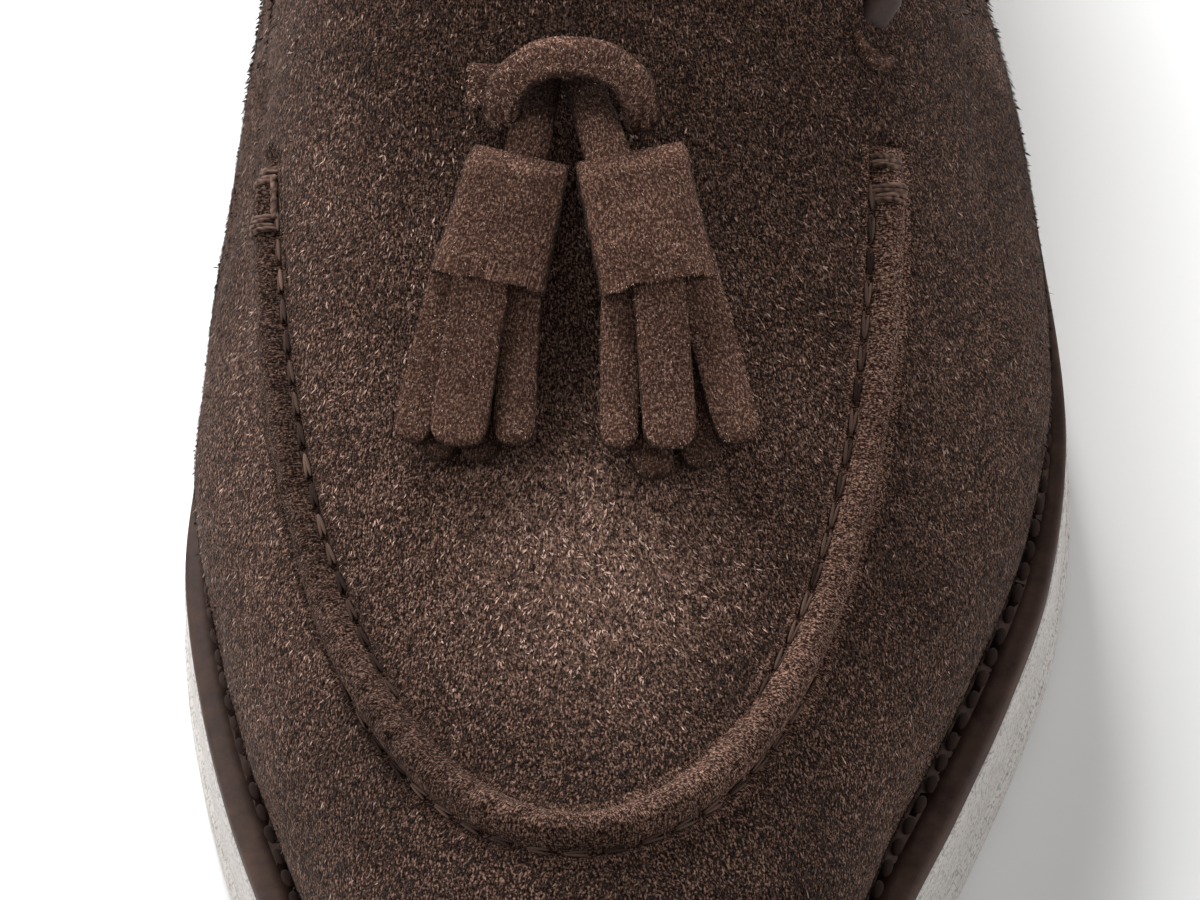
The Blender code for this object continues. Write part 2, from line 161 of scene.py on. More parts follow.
medial_width, lateral_width = curve_through(OUTLINE, 1), curve_through(OUTLINE, 2)
sole_under, sole_top = curve_through(PROFILE, 1), curve_through(PROFILE, 2)
last_crest, last_lean, last_fullness = (curve_through(LAST, k) for k in (1, 2, 3))
topline_height = curve_through(TOPLINE, 1)
lace_height = curve_through(LACE, 1)
print("last:", len(LAST), "sections on a sole of", round(SOLE_LENGTH * 1000), "mm")

# %% [markdown]
# In plan the sole is round at both tips. The underside, the rubber's upper face and the foot
# of the upper each have a height that depends on the length alone, so the pieces meet.

# %% The outline and the heights
ball_shares = np.arange(20, 50) / 100
CENTRE_X = BALL_WIDTH * (lateral_width(ball_shares).max() - medial_width(ball_shares).max()) / 2
print(f"the outline is moved {CENTRE_X * 1000:.1f} mm to medial, which centres the ball")


def tip_angle(share):
    """How far round the toe and the heel a share lies: 0 along the sides, 1 at the tip."""
    toe = np.maximum(0.0, 1 - share / TOE_ROUND)
    heel = np.maximum(0.0, 1 - (1 - share) / HEEL_ROUND)
    return toe, heel


def outline_xy(share, side, inset_side, inset_toe, inset_heel):
    """Plan places on the sole's outline, drawn in by insets at the side, toe and heel."""
    toe, heel = tip_angle(share)
    inset = inset_side + (inset_toe - inset_side) * toe + (inset_heel - inset_side) * heel
    half = BALL_WIDTH * np.where(side < 0, medial_width(share), lateral_width(share)) - inset
    half = half * np.sqrt(np.maximum(0.0, (1 - toe * toe) * (1 - heel * heel)))
    y = inset_toe - SOLE_LENGTH / 2 + share * (SOLE_LENGTH - inset_toe - inset_heel)
    return side * half - CENTRE_X, y


def under_height(y):
    """Height of the sole's underside at a plan length."""
    return HEEL_HEIGHT * sole_under(y / SOLE_LENGTH + 0.5)


def top_height(y):
    """Height of the rubber's upper face at a plan length."""
    return HEEL_HEIGHT * sole_top(y / SOLE_LENGTH + 0.5)


def seat_height(y):
    """Height at which the upper stands on the welt."""
    return top_height(y) + WELT_THICKNESS + 2 * GAP

# %% [markdown]
# A section of the last is a rounded arch, a superellipse: steep low down and full above. It
# leans toward the big toe, and the suede bulges a little just over the welt.

# %% The face of the suede


def crest_height(share):
    """Height of the last's crest above the welt, domed at the toe and the heel."""
    toe = np.maximum(0.0, 1 - share / TOE_DOME)
    heel = np.maximum(0.0, 1 - (1 - share) / HEEL_DOME)
    dome = np.maximum(0.0, 1 - toe**TOE_SQUARENESS) ** (1 / TOE_SQUARENESS)
    dome = dome * np.maximum(0.0, 1 - heel**HEEL_SQUARENESS) ** (1 / HEEL_SQUARENESS)
    return INSTEP_HEIGHT * last_crest(share) * dome


def collar_angle(share):
    """Angle round the section at which the suede stops."""
    crest = np.maximum(crest_height(share), 1e-9)
    part = np.clip(INSTEP_HEIGHT * topline_height(share) / crest, 0.0, 1.0)
    return np.arcsin(part ** (last_fullness(share) / 2))


def skin(share, side, rise):
    """Points of the suede's face: rise is 0 at the welt and 1 at the crest or the collar."""
    share, side, rise = np.broadcast_arrays(share, side, rise)
    share = share.astype(float)
    x, y = outline_xy(share, side, FEATHER_SIDE, FEATHER_TOE, FEATHER_HEEL)
    power = 2 / last_fullness(share)
    angle = collar_angle(share) * rise
    crest = crest_height(share)
    height = crest * np.maximum(np.sin(angle), 0.0) ** power
    part = np.where(crest > 0, height / np.maximum(crest, 1e-9), 0.0)
    up = np.minimum(height / BELLY_HEIGHT, 1.0)
    belly = BELLY * 4 * up * (1 - up)
    toe, heel = tip_angle(share)
    round_side = np.sqrt(np.maximum(0.0, (1 - toe * toe) * (1 - heel * heel)))
    cosine = np.maximum(np.cos(angle), 0.0)
    out_x = (x + CENTRE_X) * cosine**power + side * belly * round_side * cosine
    out_x = out_x + BALL_WIDTH * last_lean(share) * part**1.5 - CENTRE_X
    return np.stack([out_x, y + belly * (heel - toe), seat_height(y) + height], axis=-1)


def share_at(y):
    """Share of the upper's length at a plan length."""
    start = FEATHER_TOE - SOLE_LENGTH / 2
    return (y - start) / (SOLE_LENGTH - FEATHER_TOE - FEATHER_HEEL)

# %% [markdown]
# The seam, the tassels and the band lie on the vamp. Their places are chosen in plan and
# lifted onto the same surface as the skin, so they follow its curve.

# %% Places and directions on the vamp


def vamp(x, y):
    """Points of the vamp above plan places, found by halving the rise."""
    x, y = np.broadcast_arrays(np.asarray(x, float), np.asarray(y, float))
    share = share_at(y)
    side = np.where(x > skin(share, 1, 1.0)[..., 0], 1, -1)
    low = np.zeros(share.shape)
    high = np.ones(share.shape)
    for _ in range(30):
        rise = (low + high) / 2
        outside = (skin(share, side, rise)[..., 0] - x) * side > 0
        low = np.where(outside, rise, low)
        high = np.where(outside, high, rise)
    return skin(share, side, rise)


def unit(vectors):
    """The same directions with a length of one."""
    return vectors / np.maximum(np.linalg.norm(vectors, axis=-1, keepdims=True), 1e-12)


def lengths_along(line):
    """Length from the first point of a line to each of its points."""
    steps = np.linalg.norm(np.diff(line, axis=0), axis=1)
    return np.concatenate([[0], np.cumsum(steps)])


def vamp_normal(x, y, step=0.0005):
    """Directions that stand out from the vamp."""
    across = vamp(x + step, y) - vamp(x - step, y)
    along = vamp(x, y + step) - vamp(x, y - step)
    return unit(np.cross(across, along))


def halfway(test, low, high):
    """The share at which a test turns from true (low) to false (high)."""
    for _ in range(40):
        middle = (low + high) / 2
        if test(middle):
            low = middle
        else:
            high = middle
    return low


def is_closed(share):
    """Whether the suede closes over the crest at a share."""
    return collar_angle(share) > math.pi / 2 - 1e-9


THROAT = halfway(is_closed, 0.40, 0.50)
BACK = halfway(is_closed, 1.0, 0.90)
print(f"collar opens from share {THROAT:.3f} to {BACK:.3f} of the upper's length")

# %% [markdown]
# Every soft piece starts as a grid whose rows follow the shoe and whose columns go round or
# across. The grid carries two lengths in a point attribute named nap, along and across the
# fibres, so that each material can comb its grain the right way.

# %% Helpers that turn rows of points into pieces
MERGE_REACH, THIN_EDGE = 2e-7, 1e-8


def grid_object(name, points, nap=None, closed=False, ends=False):
    """A grid laid through rows of points; closed joins the first and last column."""
    points = np.asarray(points, float)
    rows, columns = points.shape[:2]
    bm = bmesh.new()
    bmesh.ops.create_grid(bm, x_segments=columns - 1, y_segments=rows - 1, size=1.0)
    layer = bm.verts.layers.float_vector.new("nap")
    flat = points.reshape(-1, 3)
    combed = np.zeros((rows * columns, 3))
    if nap is not None:
        combed[:, :2] = np.asarray(nap).reshape(-1, 2)
    for vert, place, comb in zip(bm.verts, flat, combed):
        vert.co = place
        vert[layer] = comb
    if closed:
        bm.verts.ensure_lookup_table()
        pairs = {bm.verts[i * columns + columns - 1]: bm.verts[i * columns] for i in range(rows)}
        bmesh.ops.weld_verts(bm, targetmap=pairs)
    bmesh.ops.remove_doubles(bm, verts=bm.verts, dist=MERGE_REACH)
    bmesh.ops.dissolve_degenerate(bm, edges=bm.edges, dist=THIN_EDGE)
    if ends:
        bmesh.ops.holes_fill(bm, edges=bm.edges, sides=0)
    bmesh.ops.recalc_face_normals(bm, faces=bm.faces)
    mesh = bpy.data.meshes.new(name)
    bm.to_mesh(mesh)
    bm.free()
    mesh.shade_smooth()
    made = bpy.data.objects.new(name, mesh)
    bpy.context.scene.collection.objects.link(made)
    return made

# %% [markdown]
# Stitches and fibres are one small shape repeated many times. Arrays place all the copies in
# one mesh at once, and each copy carries its own shade.

# %% Many small copies in one mesh


def joined_copies(name, shape, transforms, shades=None):
    """One mesh holding a small shape many times, with a shade from 0 to 1 for each copy."""
    source = bpy.data.meshes.new(name + "_shape")
    shape.to_mesh(source)
    shape.free()
    corners = np.empty(len(source.vertices) * 3)
    source.vertices.foreach_get("co", corners)
    corners = corners.reshape(-1, 3)
    faces = np.array([face.vertices[:] for face in source.polygons])
    smooth = np.array([face.use_smooth for face in source.polygons])
    bpy.data.meshes.remove(source)
    count = len(transforms)
    places = np.einsum("nij,vj->nvi", transforms[:, :3, :3], corners) + transforms[:, None, :3, 3]
    many = faces[None] + (np.arange(count) * len(corners))[:, None, None]
    mesh = bpy.data.meshes.new(name)
    mesh.from_pydata(places.reshape(-1, 3), [], many.reshape(-1, faces.shape[1]))
    mesh.polygons.foreach_set("use_smooth", np.tile(smooth, count))
    if shades is not None:
        attribute = mesh.attributes.new("shade", "FLOAT", "POINT")
        attribute.data.foreach_set("value", np.repeat(shades, len(corners)))
    mesh.validate()
    made = bpy.data.objects.new(name, mesh)
    bpy.context.scene.collection.objects.link(made)
    return made


def give_shade(made, values):
    """Stores a shade for every point of a piece."""
    attribute = made.data.attributes.new("shade", "FLOAT", "POINT")
    attribute.data.foreach_set("value", np.asarray(values, float))


def vertex_places(made):
    """Places of all points of a piece as an array."""
    places_now = np.empty(len(made.data.vertices) * 3)
    made.data.vertices.foreach_get("co", places_now)
    return places_now.reshape(-1, 3)


def placed(points, x_axis, y_axis, z_axis, scale):
    """Transforms that put a shape at points, turned to three axes and scaled along each."""
    transforms = np.zeros((len(points), 4, 4))
    for k, axis in enumerate((x_axis, y_axis, z_axis)):
        transforms[:, :3, k] = axis * scale[:, k : k + 1]
    transforms[:, :3, 3] = points
    transforms[:, 3, 3] = 1
    return transforms

# %% [markdown]
# Soft noise makes hand-made edges a little uneven, and the comb gives the nap its lie.

# %% Soft noise and the comb of the nap


def wander(points, size, seed=0.0):
    """Soft noise between -1 and 1 at each point, with lumps of about the given size."""
    flat = np.asarray(points).reshape(-1, 3) / size + seed
    values = np.array([noise.noise(Vector(p)) for p in flat])
    return values.reshape(np.asarray(points).shape[:-1])


def comb_lengths(points, across):
    """Lengths along and across the nap, which fans outward toward the toe."""
    spread = np.exp(8.0 * np.clip(points[..., 1] + 0.06, -0.09, 0.06))
    return np.stack([points[..., 1], across * spread], axis=-1)

# %% [markdown]
# Suede is leather sanded on its flesh side. Its fibres are short and lie over one way, so
# streaks run along the nap, and the tips catch light at a grazing angle. The pattern group
# turns the combed lengths into streaks, grain and large brushed clouds.

# %% Node helpers and the nap pattern group
STREAKS_A_METRE = (1500.0, 6000.0)
GRAINS_A_METRE = 3400.0
STREAK_BEND = 0.0022


def add_node(tree, kind, values=None, **settings):
    """A node with its settings and its unlinked input values."""
    node = tree.nodes.new(kind)
    for key, value in settings.items():
        setattr(node, key, value)
    for key, value in (values or {}).items():
        node.inputs[key].default_value = value
    return node


def make_nap_group():
    """Group: combed lengths in, streaks, grain and brushed clouds out."""
    group = bpy.data.node_groups.new("nap_pattern", "ShaderNodeTree")
    face = group.interface
    face.new_socket("Comb", in_out="INPUT", socket_type="NodeSocketVector")
    face.new_socket("Place", in_out="INPUT", socket_type="NodeSocketVector")
    for name in ("Streak", "Grain", "Cloud"):
        face.new_socket(name, in_out="OUTPUT", socket_type="NodeSocketFloat")
    link = group.links.new
    start = group.nodes.new("NodeGroupInput")
    end = group.nodes.new("NodeGroupOutput")
    bend = add_node(group, "ShaderNodeTexNoise", {"Scale": 160.0, "Detail": 1.0})
    link(start.outputs["Place"], bend.inputs["Vector"])
    shift = add_node(group, "ShaderNodeVectorMath", operation="SUBTRACT")
    shift.inputs[1].default_value = (0.5, 0.5, 0.5)
    link(bend.outputs["Color"], shift.inputs[0])
    reach = add_node(group, "ShaderNodeVectorMath", operation="SCALE")
    reach.inputs["Scale"].default_value = STREAK_BEND
    link(shift.outputs[0], reach.inputs[0])
    moved = add_node(group, "ShaderNodeVectorMath", operation="ADD")
    link(start.outputs["Comb"], moved.inputs[0])
    link(reach.outputs[0], moved.inputs[1])
    stretch = add_node(group, "ShaderNodeVectorMath", operation="MULTIPLY")
    stretch.inputs[1].default_value = (*STREAKS_A_METRE, 1.0)
    link(moved.outputs[0], stretch.inputs[0])
    streak = add_node(group, "ShaderNodeTexNoise", {"Scale": 1.0, "Detail": 2.5, "Roughness": 0.6})
    link(stretch.outputs[0], streak.inputs["Vector"])
    link(streak.outputs["Fac"], end.inputs["Streak"])
    grain = add_node(group, "ShaderNodeTexNoise", {"Scale": GRAINS_A_METRE, "Detail": 1.5})
    link(start.outputs["Place"], grain.inputs["Vector"])
    link(grain.outputs["Fac"], end.inputs["Grain"])
    cloud = add_node(group, "ShaderNodeTexNoise", {"Scale": 55.0, "Detail": 4.0, "Roughness": 0.6})
    link(start.outputs["Place"], cloud.inputs["Vector"])
    link(cloud.outputs["Fac"], end.inputs["Cloud"])
    return group


NAP_GROUP = make_nap_group()
print("nap group:", len(NAP_GROUP.nodes), "nodes")

# %% [markdown]
# These helpers keep each material short: a shader with constants, a ramp and a colour mix.

# %% Helpers for materials


def new_material(name, roughness, values=None):
    """A material with constant values on its shader's own sockets."""
    material = bpy.data.materials.new(name)
    material.use_nodes = True
    shader = material.node_tree.nodes["Principled BSDF"]
    shader.inputs["Roughness"].default_value = roughness
    for key, value in (values or {}).items():
        shader.inputs[key].default_value = value
    return material, material.node_tree, shader


def add_ramp(tree, stops):
    """A colour ramp with (place, colour) stops."""
    ramp = tree.nodes.new("ShaderNodeValToRGB")
    elements = ramp.color_ramp.elements
    while len(elements) < len(stops):
        elements.new(0.5)
    for element, (place, colour) in zip(elements, stops):
        element.position = place
        element.color = (*colour, 1.0)
    return ramp


def mix_colour(tree, factor, first, second, blend="MIX"):
    """A colour mix node; each input is a socket, or a colour for the constant ones."""
    mix = add_node(tree, "ShaderNodeMix", data_type="RGBA", blend_type=blend)
    for index, value in ((0, factor), (6, first), (7, second)):
        if isinstance(value, bpy.types.NodeSocket):
            tree.links.new(value, mix.inputs[index])
        elif index == 0:
            mix.inputs[index].default_value = value
        else:
            mix.inputs[index].default_value = (*value, 1.0)
    return mix.outputs[2]

# %% [markdown]
# The suede's colour is a ramp over the streaks, from the dark between fibres to their pale
# tips. The vamp was brushed by wear in front of the tassels, so a soft patch there is lighter.
# The patch reaches up under the tassel tips, where its lighter colour is also painted light
# that lifts their shadow.

# %% Suede materials
DARK_BROWN = (0.0070, 0.0031, 0.0022)
MID_BROWN = (0.050, 0.0250, 0.0178)
PALE_BROWN = (0.300, 0.182, 0.138)
# The worn patch's middle and reach. Reaching up under the tassels, it also stands in as painted light
# that lifts their shadow.
BRUSHED_AND_LIT_PLACE = (-0.0035, -0.0805, 0.055)
BRUSHED_AND_LIT_REACH = (0.024, 0.027, 0.030)
GRAIN_PART, STREAK_PART = 0.45, 0.55
DARK_FALL, PALE_RISE = 0.09, 0.11


def make_suede(name, brushed_and_lit=0.0, lift=1.0, spread=1.0, bump=0.00030, toned=False):
    """Dark brown suede with a worn patch of the given strength, partly painted light; a wider
    spread evens the nap, and toned multiplies by a shade attribute that can carry painted light and
    shade."""
    values = {"Sheen Weight": 0.07, "Sheen Roughness": 0.40, "Specular IOR Level": 0.06}
    material, tree, shader = new_material(name, 0.95, values)
    shader.inputs["Sheen Tint"].default_value = (0.75, 0.58, 0.50, 1.0)
    link = tree.links.new
    comb = add_node(tree, "ShaderNodeAttribute", attribute_name="nap")
    place = tree.nodes.new("ShaderNodeTexCoord").outputs["Object"]
    nap = tree.nodes.new("ShaderNodeGroup")
    nap.node_tree = NAP_GROUP
    link(comb.outputs["Vector"], nap.inputs["Comb"])
    link(place, nap.inputs["Place"])
    blend = add_node(tree, "ShaderNodeMath", operation="MULTIPLY_ADD")
    blend.inputs[1].default_value = GRAIN_PART
    link(nap.outputs["Grain"], blend.inputs[0])
    part = add_node(tree, "ShaderNodeMath", operation="MULTIPLY")
    part.inputs[1].default_value = STREAK_PART
    link(nap.outputs["Streak"], part.inputs[0])
    link(part.outputs[0], blend.inputs[2])
    tones = (DARK_BROWN, MID_BROWN, PALE_BROWN)
    stops = (0.50 - DARK_FALL * spread, 0.50, 0.50 + PALE_RISE * spread)
    ramp = add_ramp(tree, [(stop, tuple(c * lift for c in tone)) for stop, tone in zip(stops, tones)])
    link(blend.outputs[0], ramp.inputs["Fac"])
    clouds = add_ramp(tree, ((0.30, (0.62, 0.60, 0.59)), (0.70, (1.25, 1.25, 1.25))))
    link(nap.outputs["Cloud"], clouds.inputs["Fac"])
    colour = mix_colour(tree, 1.0, ramp.outputs["Color"], clouds.outputs["Color"], "MULTIPLY")
    if brushed_and_lit:
        away = add_node(tree, "ShaderNodeVectorMath", operation="SUBTRACT")
        away.inputs[1].default_value = BRUSHED_AND_LIT_PLACE
        link(place, away.inputs[0])
        scaled = add_node(tree, "ShaderNodeVectorMath", operation="DIVIDE")
        scaled.inputs[1].default_value = BRUSHED_AND_LIT_REACH
        link(away.outputs[0], scaled.inputs[0])
        distance = add_node(tree, "ShaderNodeVectorMath", operation="LENGTH")
        link(scaled.outputs[0], distance.inputs[0])
        patch = add_ramp(tree, ((0.0, (brushed_and_lit,) * 3), (1.0, (0.0,) * 3)))
        patch.color_ramp.interpolation = "EASE"
        link(distance.outputs["Value"], patch.inputs["Fac"])
        tips = add_ramp(tree, ((0.40, MID_BROWN), (0.60, tuple(c * 1.5 for c in PALE_BROWN))))
        link(blend.outputs[0], tips.inputs["Fac"])
        colour = mix_colour(tree, patch.outputs["Color"], colour, tips.outputs["Color"])
    if toned:
        tone = add_node(tree, "ShaderNodeAttribute", attribute_name="shade")
        colour = mix_colour(tree, 1.0, colour, tone.outputs["Color"], "MULTIPLY")
    link(colour, shader.inputs["Base Color"])
    height = add_node(tree, "ShaderNodeBump", {"Strength": 0.9, "Distance": bump})
    link(blend.outputs[0], height.inputs["Height"])
    link(height.outputs["Normal"], shader.inputs["Normal"])
    return material


SUEDE = make_suede("suede_upper", brushed_and_lit=0.55)
SUEDE_TRIM = make_suede("suede_trim", lift=1.55, spread=2.1, toned=True)
SUEDE_SEAM = make_suede("suede_seam", lift=1.15, toned=True)
print("suede materials:", SUEDE.name, SUEDE_TRIM.name, SUEDE_SEAM.name)

# %% [markdown]
# Single fibres and threads have no pattern of their own. Each takes its tone from the shade
# that its copy carries.

# %% Material of single fibres and threads


def make_fibre_material(name, dark, pale, middle=None, sheen=0.12):
    """Single fibres, each a little darker or paler than the next."""
    values = {"Sheen Weight": sheen, "Specular IOR Level": 0.12}
    material, tree, shader = new_material(name, 0.85, values)
    shade = add_node(tree, "ShaderNodeAttribute", attribute_name="shade")
    middle = middle or tuple((a + b) / 2 for a, b in zip(dark, pale))
    ramp = add_ramp(tree, ((0.0, dark), (0.5, middle), (1.0, pale)))
    tree.links.new(shade.outputs["Fac"], ramp.inputs["Fac"])
    tree.links.new(ramp.outputs["Color"], shader.inputs["Base Color"])
    return material


FIBRE = make_fibre_material(
    "suede_fibre", (0.0070, 0.0034, 0.0025), (0.54, 0.357, 0.288), (0.072, 0.0400, 0.0305)
)

# %% [markdown]
# The upper is one skin from the welt to the crest, closed over the vamp and open at the
# collar. A slow wander of about two tenths of a millimetre keeps it from looking moulded.
# A Solidify modifier gives the skin its wall inward, so the suede's face stays where the last
# puts it. The inner side of the wall takes the second material, the lining leather.

# %% The suede skin and its wall
SKIN_COLUMNS, SKIN_STEP = 84, 0.0024
SKIN_WANDER, SKIN_LUMP = 0.00022, 0.011
WALL_SPARE = 0.0001
HALVES_MERGE = 2e-6


def skin_shares(step):
    """Places of the sections, close together where the toe, throat and heel turn fast."""
    toe = TOE_DOME * np.linspace(0, 1, 34) ** 2.2
    vamp_rows = np.arange(TOE_DOME + step, THROAT - step / 2, step)
    mouth = THROAT + np.linspace(0, 1, 22) ** 1.7 * (0.53 - THROAT)
    quarter = np.linspace(0.535, 0.78, 42)
    heel = BACK - np.linspace(1, 0, 30) ** 2 * (BACK - 0.785)
    seat = 1 - (1 - BACK) * np.linspace(1, 0, 16)[1:] ** 3
    return np.concatenate([toe, vamp_rows, mouth, quarter, heel, seat])


def arc_lengths(points):
    """Length along each row of a grid from its last column."""
    steps = np.linalg.norm(np.diff(points, axis=1), axis=-1)
    total = np.concatenate([np.zeros((len(points), 1)), np.cumsum(steps[:, ::-1], axis=1)], axis=1)
    return total[:, ::-1]


def merge_objects(target, others):
    """Joins meshes into the first one and merges the points that meet."""
    bm = bmesh.new()
    for made in (target, *others):
        bm.from_mesh(made.data)
    bmesh.ops.remove_doubles(bm, verts=bm.verts, dist=HALVES_MERGE)
    bmesh.ops.dissolve_degenerate(bm, edges=bm.edges, dist=THIN_EDGE)
    bmesh.ops.recalc_face_normals(bm, faces=bm.faces)
    bm.to_mesh(target.data)
    bm.free()
    target.data.shade_smooth()
    for made in others:
        bpy.data.objects.remove(made)
    return target


def build_skin(name, columns, step):
    """Both halves of the skin as one piece, with the opening of the collar left free."""
    shares = skin_shares(step)
    rises = np.linspace(0, 1, columns) ** 0.9
    halves = []
    for side in (-1, 1):
        points = skin(shares[:, None], side, rises[None, :])
        normals = grid_normals(points) * side
        across = side * arc_lengths(points)
        open_row = (shares > THROAT)[:, None] & (shares < BACK)[:, None]
        edge = np.where(open_row, 1.0, np.sin(np.pi * rises)[None, :] ** 0.3)
        soft = SKIN_WANDER * wander(points, SKIN_LUMP) * edge
        moved = points + normals * soft[..., None]
        moved[:, -1][~open_row[:, 0], 0] = points[:, -1][~open_row[:, 0], 0]
        halves.append(grid_object(f"{name}_{side + 1}", moved, comb_lengths(points, across)))
    made = merge_objects(halves[0], halves[1:])
    made.name = name
    return made


def grid_normals(points):
    """Directions across a grid of points, outward for the lateral half."""
    along = np.gradient(points, axis=0)
    up = np.gradient(points, axis=1)
    return unit(np.cross(along, up))


upper = build_skin("suede_upper", SKIN_COLUMNS, SKIN_STEP)
upper.data.materials.append(SUEDE)
wall = upper.modifiers.new("wall", "SOLIDIFY")
wall.thickness = UPPER_WALL - WALL_SPARE
wall.offset = -1.0
wall.material_offset = 1
wall.material_offset_rim = 0
print("suede skin:", len(upper.data.polygons), "faces before its wall is added")

# %% [markdown]
# The apron seam is a hand-sewn moccasin seam. The wall is gathered up over the apron's edge, so
# a soft roll stands up along a U. Along the sides the thread lies in a groove on the inner side,
# and round the toe the roll is fatter and the thread shows on its outer side. The strip is laid
# on the vamp's own function and the skin below it is pressed down, so neither shows twice.

# %% The path of the apron seam
APRON_TOE, APRON_TACK = 0.099, 0.389
APRON_HALF_WIDTH, APRON_SHIFT = 0.0367, -0.0007
TACK_REACH_MEDIAL = 0.0036
STITCH_PITCH = 0.0040


def share_y(share):
    """Plan length at a share of the upper's length."""
    return FEATHER_TOE - SOLE_LENGTH / 2 + share * (SOLE_LENGTH - FEATHER_TOE - FEATHER_HEEL)


def apron_plan(turn):
    """Plan places on the seam; turn is -1 at the medial end, 0 at the toe, 1 at the lateral."""
    angle = turn * math.pi / 2
    share = APRON_TACK - (APRON_TACK - APRON_TOE) * np.cos(angle)
    return APRON_SHIFT - CENTRE_X + APRON_HALF_WIDTH * np.sin(angle), share_y(share)


class SurfacePath:
    """A path on the vamp measured by its length, with places beside it and above it."""

    def __init__(self, x, y):
        """Lifts a line of plan places onto the vamp and keeps its lengths and directions."""
        points = vamp(x, y)
        self.marks = lengths_along(points)
        self.length = self.marks[-1]
        self.x, self.y, self.points = x, y, points
        self.normals = vamp_normal(x, y)
        self.ways = unit(np.gradient(points, self.marks, axis=0))
        self.across = unit(np.cross(self.ways, self.normals))

    def at(self, values, place):
        """A value of the path at some lengths, column by column."""
        if values.ndim == 1:
            return np.interp(place, self.marks, values)
        return np.stack([np.interp(place, self.marks, column) for column in values.T], axis=-1)

    def lay(self, place, aside, height):
        """Points beside the path by one length and above the vamp by another."""
        place, aside, height = np.broadcast_arrays(place, aside, height)
        across = self.at(self.across, place)
        x = self.at(self.x, place) + across[..., 0] * aside
        y = self.at(self.y, place) + across[..., 1] * aside
        return vamp(x, y) + vamp_normal(x, y) * height[..., None]


turns = np.linspace(-1, 1, 1500)
seam_x, seam_y = apron_plan(turns)
lead = np.linspace(TACK_REACH_MEDIAL, 0, 30)[:-1]
seam_x = np.concatenate([np.full(len(lead), seam_x[0]), seam_x])
seam_y = np.concatenate([seam_y[0] + lead, seam_y])
turns = np.concatenate([np.full(len(lead), -1.0), turns])
seam = SurfacePath(seam_x, seam_y)
print(f"apron seam: {seam.length * 1000:.0f} mm from tack to tack")


def smooth_step(low, high, value):
    """0 below low, 1 above high and a smooth rise between them."""
    part = np.clip((value - low) / (high - low), 0.0, 1.0)
    return part * part * (3 - 2 * part)


def toe_part(place):
    """1 round the toe, where the roll is fat, and 0 along the sides."""
    return 1 - smooth_step(0.30, 0.62, np.abs(seam.at(turns, place)))

# %% [markdown]
# The profile across the seam is a bead with a groove on each side. Gathers make the bead
# ripple, a little unevenly, and each stitch pulls a dimple into it.

# %% The gathered strip of the seam
SEAM_REACH = 0.0040
PRESSED = 0.0008
BEAD_HEIGHT, BEAD_TOE_EXTRA = 0.00165, 0.00085
GROOVE_ASIDE = 0.0023
STRIP_LIFT, RIM_SINK = 0.00004, 0.00016
STRIP_ROWS, STRIP_COLUMNS, STRIP_OVERRUN = 700, 41, 0.0012


def seam_height(place, aside):
    """Height of the strip over the vamp at a length along the seam and a reach aside."""
    place, aside = np.broadcast_arrays(place, aside)
    toe = toe_part(place)
    end = smooth_step(0.0, 0.003, place) * smooth_step(0.0, 0.003, seam.length - place)
    outer = 0.0026 - 0.0006 * toe
    inner = 0.0018 + 0.0010 * toe
    crest = (BEAD_HEIGHT + BEAD_TOE_EXTRA * toe) * (0.25 + 0.75 * end)
    reach = np.where(aside > 0, outer, inner)
    bead = crest * np.maximum(0.0, 1 - (aside / reach) ** 2) ** 0.75
    pull = 0.5 + 0.5 * np.cos(2 * math.pi * place / STITCH_PITCH + 250 * aside)
    sheet = np.stack([place / 0.0011 + 120 * aside, aside / 0.0030, place * 0], axis=-1)
    gather = wander(sheet, 1.0, 3.7)
    bead = bead * (1 + 0.12 * pull) + 0.00022 * gather * np.sqrt(bead / 0.0015)
    groove_in = (0.00060 - 0.00040 * toe) * np.exp(-(((aside + GROOVE_ASIDE) / 0.00042) ** 2))
    groove_out = (0.00020 + 0.00050 * toe) * np.exp(-(((aside - GROOVE_ASIDE) / 0.00045) ** 2))
    rim = np.abs(aside) / SEAM_REACH
    sink = RIM_SINK * smooth_step(0.86, 1.0, rim)
    return bead - groove_in - groove_out - sink + STRIP_LIFT


places = np.linspace(-STRIP_OVERRUN, seam.length + STRIP_OVERRUN, STRIP_ROWS)[:, None]
asides = np.linspace(-SEAM_REACH, SEAM_REACH, STRIP_COLUMNS)[None, :]
held = np.clip(places, 0.0, seam.length)
strip_points = seam.lay(held, asides, seam_height(places, asides))
overrun = (places - held)[..., None]
strip_points = strip_points + seam.at(seam.ways, held[:, 0])[:, None, :] * overrun
strip_nap = np.stack(np.broadcast_arrays(asides * 1.2, places * 1.6), axis=-1)
seam_strip = grid_object("suede_seam", strip_points, strip_nap)
seam_strip.data.materials.append(SUEDE_SEAM)


def seam_painted_light(points):
    """Painted light and shade on the roll: its nap darker on the medial side, lighter on the lateral.
    """
    side = np.clip((points[:, 0] + CENTRE_X) / APRON_HALF_WIDTH, -1.0, 1.0)
    return 1.0 + 0.45 * side


give_shade(seam_strip, seam_painted_light(vertex_places(seam_strip)))

# %% [markdown]
# The skin below the strip is lowered, so that it doesn't come through the grooves.

# %% Press the skin down below the seam


